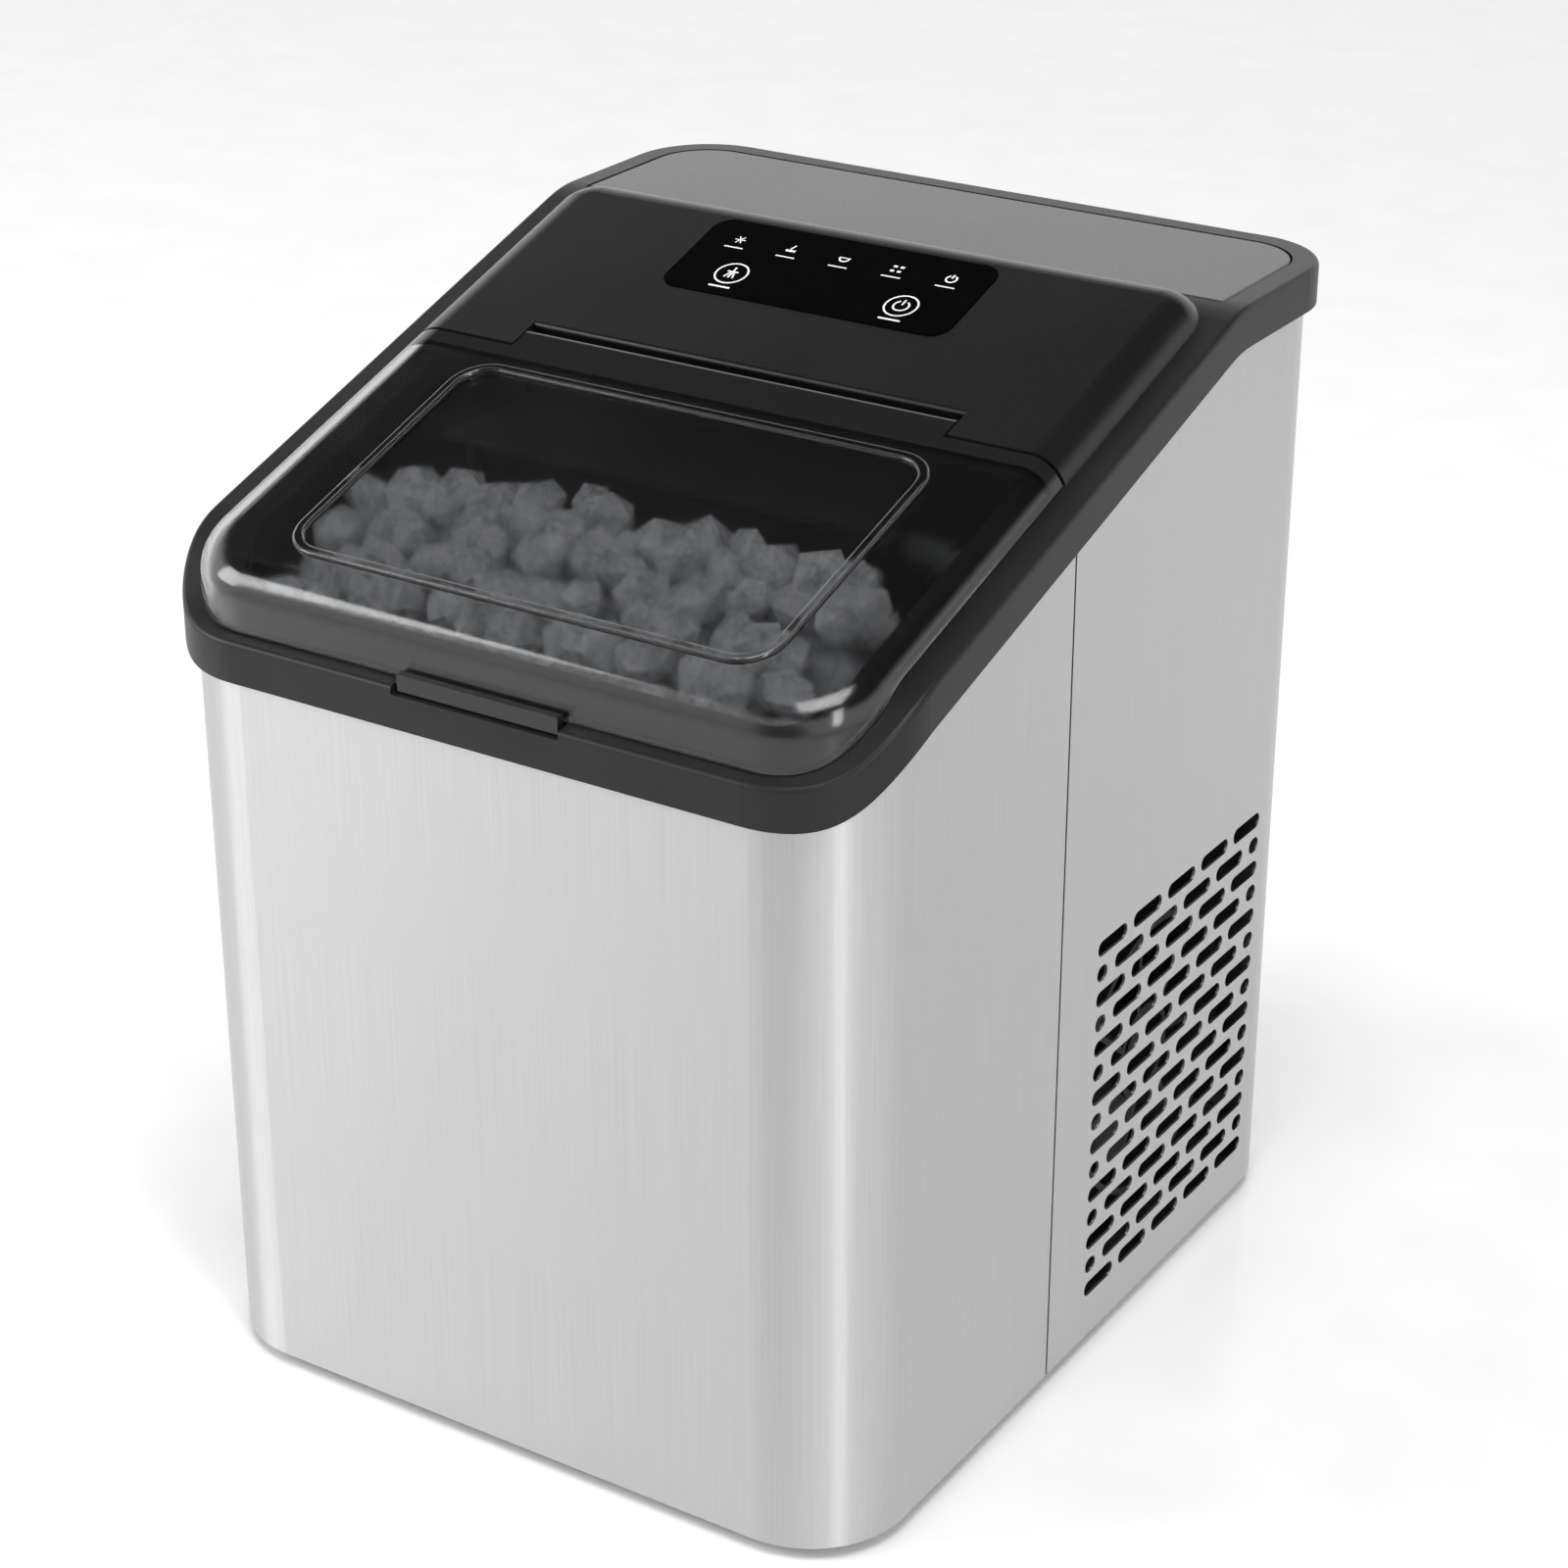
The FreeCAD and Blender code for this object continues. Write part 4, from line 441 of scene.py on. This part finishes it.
@dataclass
class TouchField:
    """Printed marks of the touch field: two ringed buttons, five indicators and plain label bars."""

    plane: SlopePlane
    depth: float = 0.03 * MM
    stroke: float = 0.55 * MM
    button_r: float = 4.9 * MM
    button_x: float = 28.0 * MM
    button_v: float = -7.5 * MM
    icon_pitch: float = 17.5 * MM
    icon_v: float = 8.6 * MM

    def ring(self, mesh: bmesh.types.BMesh, x: float, v: float, radius: float, start: float, sweep: float) -> None:
        """Draws part of a ring.

        Args:
            mesh: Takes the faces.
            x: Centre, across.
            v: Centre, up the slope.
            radius: Middle radius.
            start: First angle in degrees.
            sweep: Angle covered in degrees.
        """
        a = math.radians(start)
        ends = [Vector((x + r * math.cos(a), v + r * math.sin(a), 0))
                for r in (radius - self.stroke / 2, radius + self.stroke / 2)]
        verts = [mesh.verts.new(p) for p in ends]
        edge = mesh.edges.new(verts)
        bmesh.ops.spin(mesh, geom=[*verts, edge], cent=(x, v, 0), axis=(0, 0, 1), dvec=(0, 0, 0),
                       angle=math.radians(sweep), steps=max(3, int(abs(sweep) / 9)), use_merge=abs(sweep) >= 360)

    def bar(self, mesh: bmesh.types.BMesh, x: float, v: float, width: float, height: float,
            turn: float = 0.0) -> None:
        """Draws a plain bar.

        Args:
            mesh: Takes the face.
            x: Centre, across.
            v: Centre, up the slope.
            width: Size across.
            height: Size up the slope.
            turn: Turn in degrees.
        """
        matrix = (Matrix.Translation((x, v, 0)) @ Matrix.Rotation(math.radians(turn), 4, "Z")
                  @ Matrix.Diagonal((width / 2, height / 2, 1, 1)))
        bmesh.ops.create_grid(mesh, x_segments=1, y_segments=1, size=1.0, matrix=matrix)

    def power_mark(self, mesh: bmesh.types.BMesh, x: float, v: float, size: float) -> None:
        """Draws an open ring with a bar, the common mark for switching on."""
        self.ring(mesh, x, v, size, 120, 300)
        self.bar(mesh, x, v + size * 0.75, self.stroke, size * 1.1)

    def build(self, finishes: Finishes) -> bpy.types.Object:
        """Builds all marks as one printed layer.

        Args:
            finishes: Gives the ink.

        Returns:
            The layer, riding on the cabinet.
        """
        mesh = bmesh.new()
        for side in (-1, 1):
            self.ring(mesh, side * self.button_x, self.button_v, self.button_r, 0, 360)
            self.bar(mesh, side * self.button_x, self.button_v - 6.9 * MM, 7.0 * MM, 0.7 * MM)
        self.power_mark(mesh, self.button_x, self.button_v, 2.3 * MM)
        x, v = -self.button_x, self.button_v
        for turn in (-30, 0, 30):
            self.bar(mesh, x + turn * 0.035 * MM, v - 0.9 * MM, self.stroke, 2.6 * MM, turn * 0.6)
        self.bar(mesh, x, v + 0.8 * MM, 3.6 * MM, self.stroke)
        self.bar(mesh, x, v + 2.0 * MM, self.stroke, 2.0 * MM)
        for k in range(-2, 3):
            x = k * self.icon_pitch
            self.bar(mesh, x, self.icon_v - 4.0 * MM, 6.2 * MM, 0.5 * MM)
            if k == -2:
                for turn in (0, 60, 120):
                    self.bar(mesh, x, self.icon_v, 3.6 * MM, 0.35 * MM, turn)
            elif k == -1:
                self.bar(mesh, x, self.icon_v - 0.8 * MM, 3.2 * MM, 0.9 * MM)
                self.bar(mesh, x, self.icon_v + 1.0 * MM, 0.5 * MM, 2.2 * MM, -20)
            elif k == 0:
                self.ring(mesh, x, self.icon_v + 0.3 * MM, 1.5 * MM, 180, 180)
                self.bar(mesh, x, self.icon_v + 0.6 * MM, 3.8 * MM, 0.35 * MM)
            elif k == 1:
                for sx in (-1, 1):
                    for sv in (-1, 1):
                        self.bar(mesh, x + sx * 1.1 * MM, self.icon_v + sv * 1.1 * MM, 1.2 * MM, 0.9 * MM)
            else:
                self.power_mark(mesh, x, self.icon_v, 1.6 * MM)
        bmesh.ops.solidify(mesh, geom=list(mesh.faces), thickness=self.depth)
        low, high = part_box("touch_panel_overlay")
        bmesh.ops.transform(mesh, matrix=self.plane.placed((low.y + high.y) / 2, 0.25 * MM), verts=mesh.verts)
        marks = to_object(mesh, "touch_field_marks", smooth=False)
        finishes.dress(marks, Finish.WHITE_INK)
        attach(marks, CABINET)
        return marks


@dataclass
class IceHeap:
    """Loose ice heaped in the basket, close under the lid."""

    plane: SlopePlane
    seed: int = 11
    spacing: float = 13.0 * MM
    layers: int = 4
    layer_drop: float = 10.0 * MM
    headroom: float = 6.0 * MM
    lid_wall: float = 2.4 * MM
    lid_gap: float = 1.2 * MM
    swell: float = 1.04
    plane_stretch: float = 1.0 / math.cos(TILT)
    low_r: float = 8.5 * MM
    high_r: float = 13.0 * MM
    pusher_lean: float = math.tan(math.radians(24.0)) * 0.9
    pusher_gap: float = 2.0 * MM
    side_gap: float = 13.0 * MM
    front_gap: float = 9.0 * MM
    rear_gap: float = 9.0 * MM
    shallow: float = 3.0 * MM
    broad_wave: float = 3.5 * MM
    fine_wave: float = 2.0 * MM
    left_start: float = 50.0 * MM
    left_fall: float = 0.45

    def ceiling(self, y: float, radius: float) -> float:
        """Highest centre a lump may have under the lid's inner face."""
        return self.plane.z(y) - (self.lid_wall + self.lid_gap + radius * self.swell) * self.plane_stretch

    def surface(self, x: float, y: float) -> float:
        """Height of the heap's surface at a place."""
        broad = self.broad_wave * math.sin(x * 61.0 + 1.3) * math.cos(y * 83.0)
        wave = broad + self.fine_wave * math.sin(x * 143.0 + y * 57.0)
        left = max(0.0, -x - self.left_start) * self.left_fall
        return self.plane.z(y) - self.headroom - self.shallow + wave - left

    def build(self, finishes: Finishes) -> bpy.types.Object:
        """Builds the heap as one mesh of separate lumps.

        Args:
            finishes: Gives the ice.

        Returns:
            The heap, riding on the cabinet.
        """
        rng = random.Random(self.seed)
        low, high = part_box("ice_basket")
        pusher_low, pusher_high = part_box("ice_pusher")
        mesh = bmesh.new()
        half = min(-low.x, high.x) - self.side_gap
        front = low.y + self.front_gap
        rear = pusher_low.y - self.rear_gap
        columns = int(2 * half / self.spacing)
        rows = int((rear - front) / self.spacing) + 1
        for layer in range(self.layers):
            for i in range(columns + 1):
                for j in range(rows + 1):
                    x = -half + i * self.spacing + rng.uniform(-4, 4) * MM
                    y = front + j * (rear - front) / rows + rng.uniform(-3, 3) * MM
                    z = self.surface(x, y) - layer * self.layer_drop + rng.uniform(-2.5, 2.5) * MM
                    radius = rng.uniform(self.low_r, self.high_r)
                    z = min(z, self.ceiling(y, radius) - layer * self.layer_drop)
                    below = max(0.0, pusher_high.z - z)
                    y = min(y, pusher_low.y - below * self.pusher_lean - self.pusher_gap - radius)
                    x = max(-half, min(half, x))
                    y = max(front, y)
                    self.lump(mesh, Vector((x, y, z)), radius, rng)
        heap = to_object(mesh, "ice_heap", smooth=False)
        finishes.dress(heap, Finish.ICE)
        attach(heap, CABINET)
        return heap

    def lump(self, mesh: bmesh.types.BMesh, place: Vector, radius: float, rng: random.Random) -> None:
        """Adds one uneven lump.

        Args:
            mesh: Takes the lump.
            place: Its centre.
            radius: Its size.
            rng: Source of the uneven shape.
        """
        stretch = Matrix.Diagonal((rng.uniform(0.75, 1.0), rng.uniform(0.75, 1.0), rng.uniform(0.55, 0.9), 1))
        turn = Matrix.Rotation(rng.uniform(0, 6.28), 4, "Z") @ Matrix.Rotation(rng.uniform(-0.9, 0.9), 4, "X")
        made = bmesh.ops.create_icosphere(mesh, subdivisions=1, radius=radius,
                                          matrix=Matrix.Translation(place) @ turn @ stretch)
        for vert in made["verts"]:
            offset = vert.co - place
            vert.co = place + offset * rng.uniform(0.84, self.swell)


@dataclass
class Studio:
    """Pale floor, soft lights and the camera."""

    azimuth: float = math.radians(32.64)
    elevation: float = math.radians(25.26)
    distance: float = 1.03651
    target: tuple[float, float, float] = (0.00822, 0.0, 0.15893)
    lens: float = 82.35
    bright_below: float = math.sin(math.radians(27.0))
    dark_above: float = math.sin(math.radians(43.0))
    horizon: float = 1.4
    overhead: float = 0.06
    dim_side: tuple[float, float, float] = (0.05, -0.998, 0.0)

    def light(self, name: str, place: tuple[float, float, float], aim: tuple[float, float, float], size: float,
              height: float, power: float) -> None:
        """Adds one softbox.

        Args:
            name: Name of the light.
            place: Where it stands.
            aim: What it points at.
            size: Width of the box.
            height: Height of the box.
            power: Power in watts.
        """
        data = bpy.data.lights.new(name, "AREA")
        data.shape = "RECTANGLE"
        data.size = size
        data.size_y = height
        data.energy = power
        lamp = bpy.data.objects.new(name, data)
        lamp.location = place
        lamp.rotation_euler = (Vector(aim) - Vector(place)).to_track_quat("-Z", "Y").to_euler()
        bpy.context.scene.collection.objects.link(lamp)

    def build_world(self) -> None:
        """Builds a surround that is bright round the horizon, dark overhead and dim in front."""
        world = bpy.data.worlds.new("studio_world")
        world.use_nodes = True
        tree = world.node_tree
        direction = add(tree, "ShaderNodeTexCoord").outputs["Generated"]
        height = add(tree, "ShaderNodeSeparateXYZ", links={"Vector": direction}).outputs["Z"]
        span = {"From Min": self.bright_below, "From Max": self.dark_above, "To Min": self.horizon,
                "To Max": self.overhead}
        level = add(tree, "ShaderNodeMapRange", span, {"Value": height},
                    interpolation_type="SMOOTHSTEP").outputs["Result"]
        ahead = add(tree, "ShaderNodeVectorMath", {1: self.dim_side}, {0: direction},
                    operation="DOT_PRODUCT").outputs["Value"]
        dip = add(tree, "ShaderNodeMapRange", {"From Min": 0.8, "From Max": 0.97, "To Min": 1.0, "To Max": 0.25},
                  {"Value": ahead}, interpolation_type="SMOOTHSTEP").outputs["Result"]
        level = add(tree, "ShaderNodeMath", links={0: level, 1: dip}, operation="MULTIPLY").outputs["Value"]
        background = tree.nodes["Background"]
        background.inputs["Color"].default_value = linear("#FAFAFA")
        tree.links.new(level, background.inputs["Strength"])
        bpy.context.scene.world = world
        bpy.context.scene.view_settings.view_transform = "Standard"

    def build(self, finishes: Finishes) -> None:
        """Builds floor, lights, world and camera.

        Args:
            finishes: Gives the floor's finish.
        """
        mesh = bmesh.new()
        bmesh.ops.create_grid(mesh, x_segments=1, y_segments=1, size=4.0)
        floor = to_object(mesh, "studio_floor")
        finishes.dress(floor, Finish.FLOOR)
        self.light("key_softbox", (-1.9, -1.35, 1.3), (0, 0, 0.15), 1.2, 1.3, 34.0)
        self.light("side_softbox", (1.7, -1.0, 1.2), (0, 0, 0.15), 0.35, 1.4, 12.0)
        self.light("top_softbox", (0.4, -0.5, 2.0), (0, 0, 0.2), 1.1, 1.0, 24.0)
        self.build_world()
        data = bpy.data.cameras.new("product_camera")
        data.lens = self.lens
        data.sensor_width = 36.0
        data.clip_start = 0.01
        camera = bpy.data.objects.new("product_camera", data)
        back = Vector((math.sin(self.azimuth) * math.cos(self.elevation),
                       -math.cos(self.azimuth) * math.cos(self.elevation), math.sin(self.elevation)))
        camera.location = Vector(self.target) + back * self.distance
        camera.rotation_euler = (-back).to_track_quat("-Z", "Y").to_euler()
        bpy.context.scene.collection.objects.link(camera)
        bpy.context.scene.camera = camera


def dress_frame(frame: dict, finishes: Finishes) -> None:
    """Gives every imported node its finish.

    Args:
        frame: The loaded frame.
        finishes: Gives the materials.
    """
    slots = {part["node"]: part["material_slot"] for part in frame["record"]["subparts"]}
    for name, piece in frame["nodes"].items():
        finish = NODE_FINISH.get(name, SLOT_FINISH[slots[name]])
        finishes.dress(piece, finish)
        LOG.info("dressed %s with %s", name, finish.value.name)


def main() -> None:
    """Loads the frame and builds every class in order."""
    logging.basicConfig(level=logging.INFO, format="%(message)s")
    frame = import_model()
    finishes = Finishes()
    Studio().build(finishes)
    dress_frame(frame, finishes)
    plane = SlopePlane.from_frame()
    for maker in (TouchField(plane), IceHeap(plane)):
        piece = maker.build(finishes)
        LOG.info("built %s with %d faces", piece.name, len(piece.data.polygons))
    bpy.context.view_layer.update()


if __name__ == "__main__":
    main()
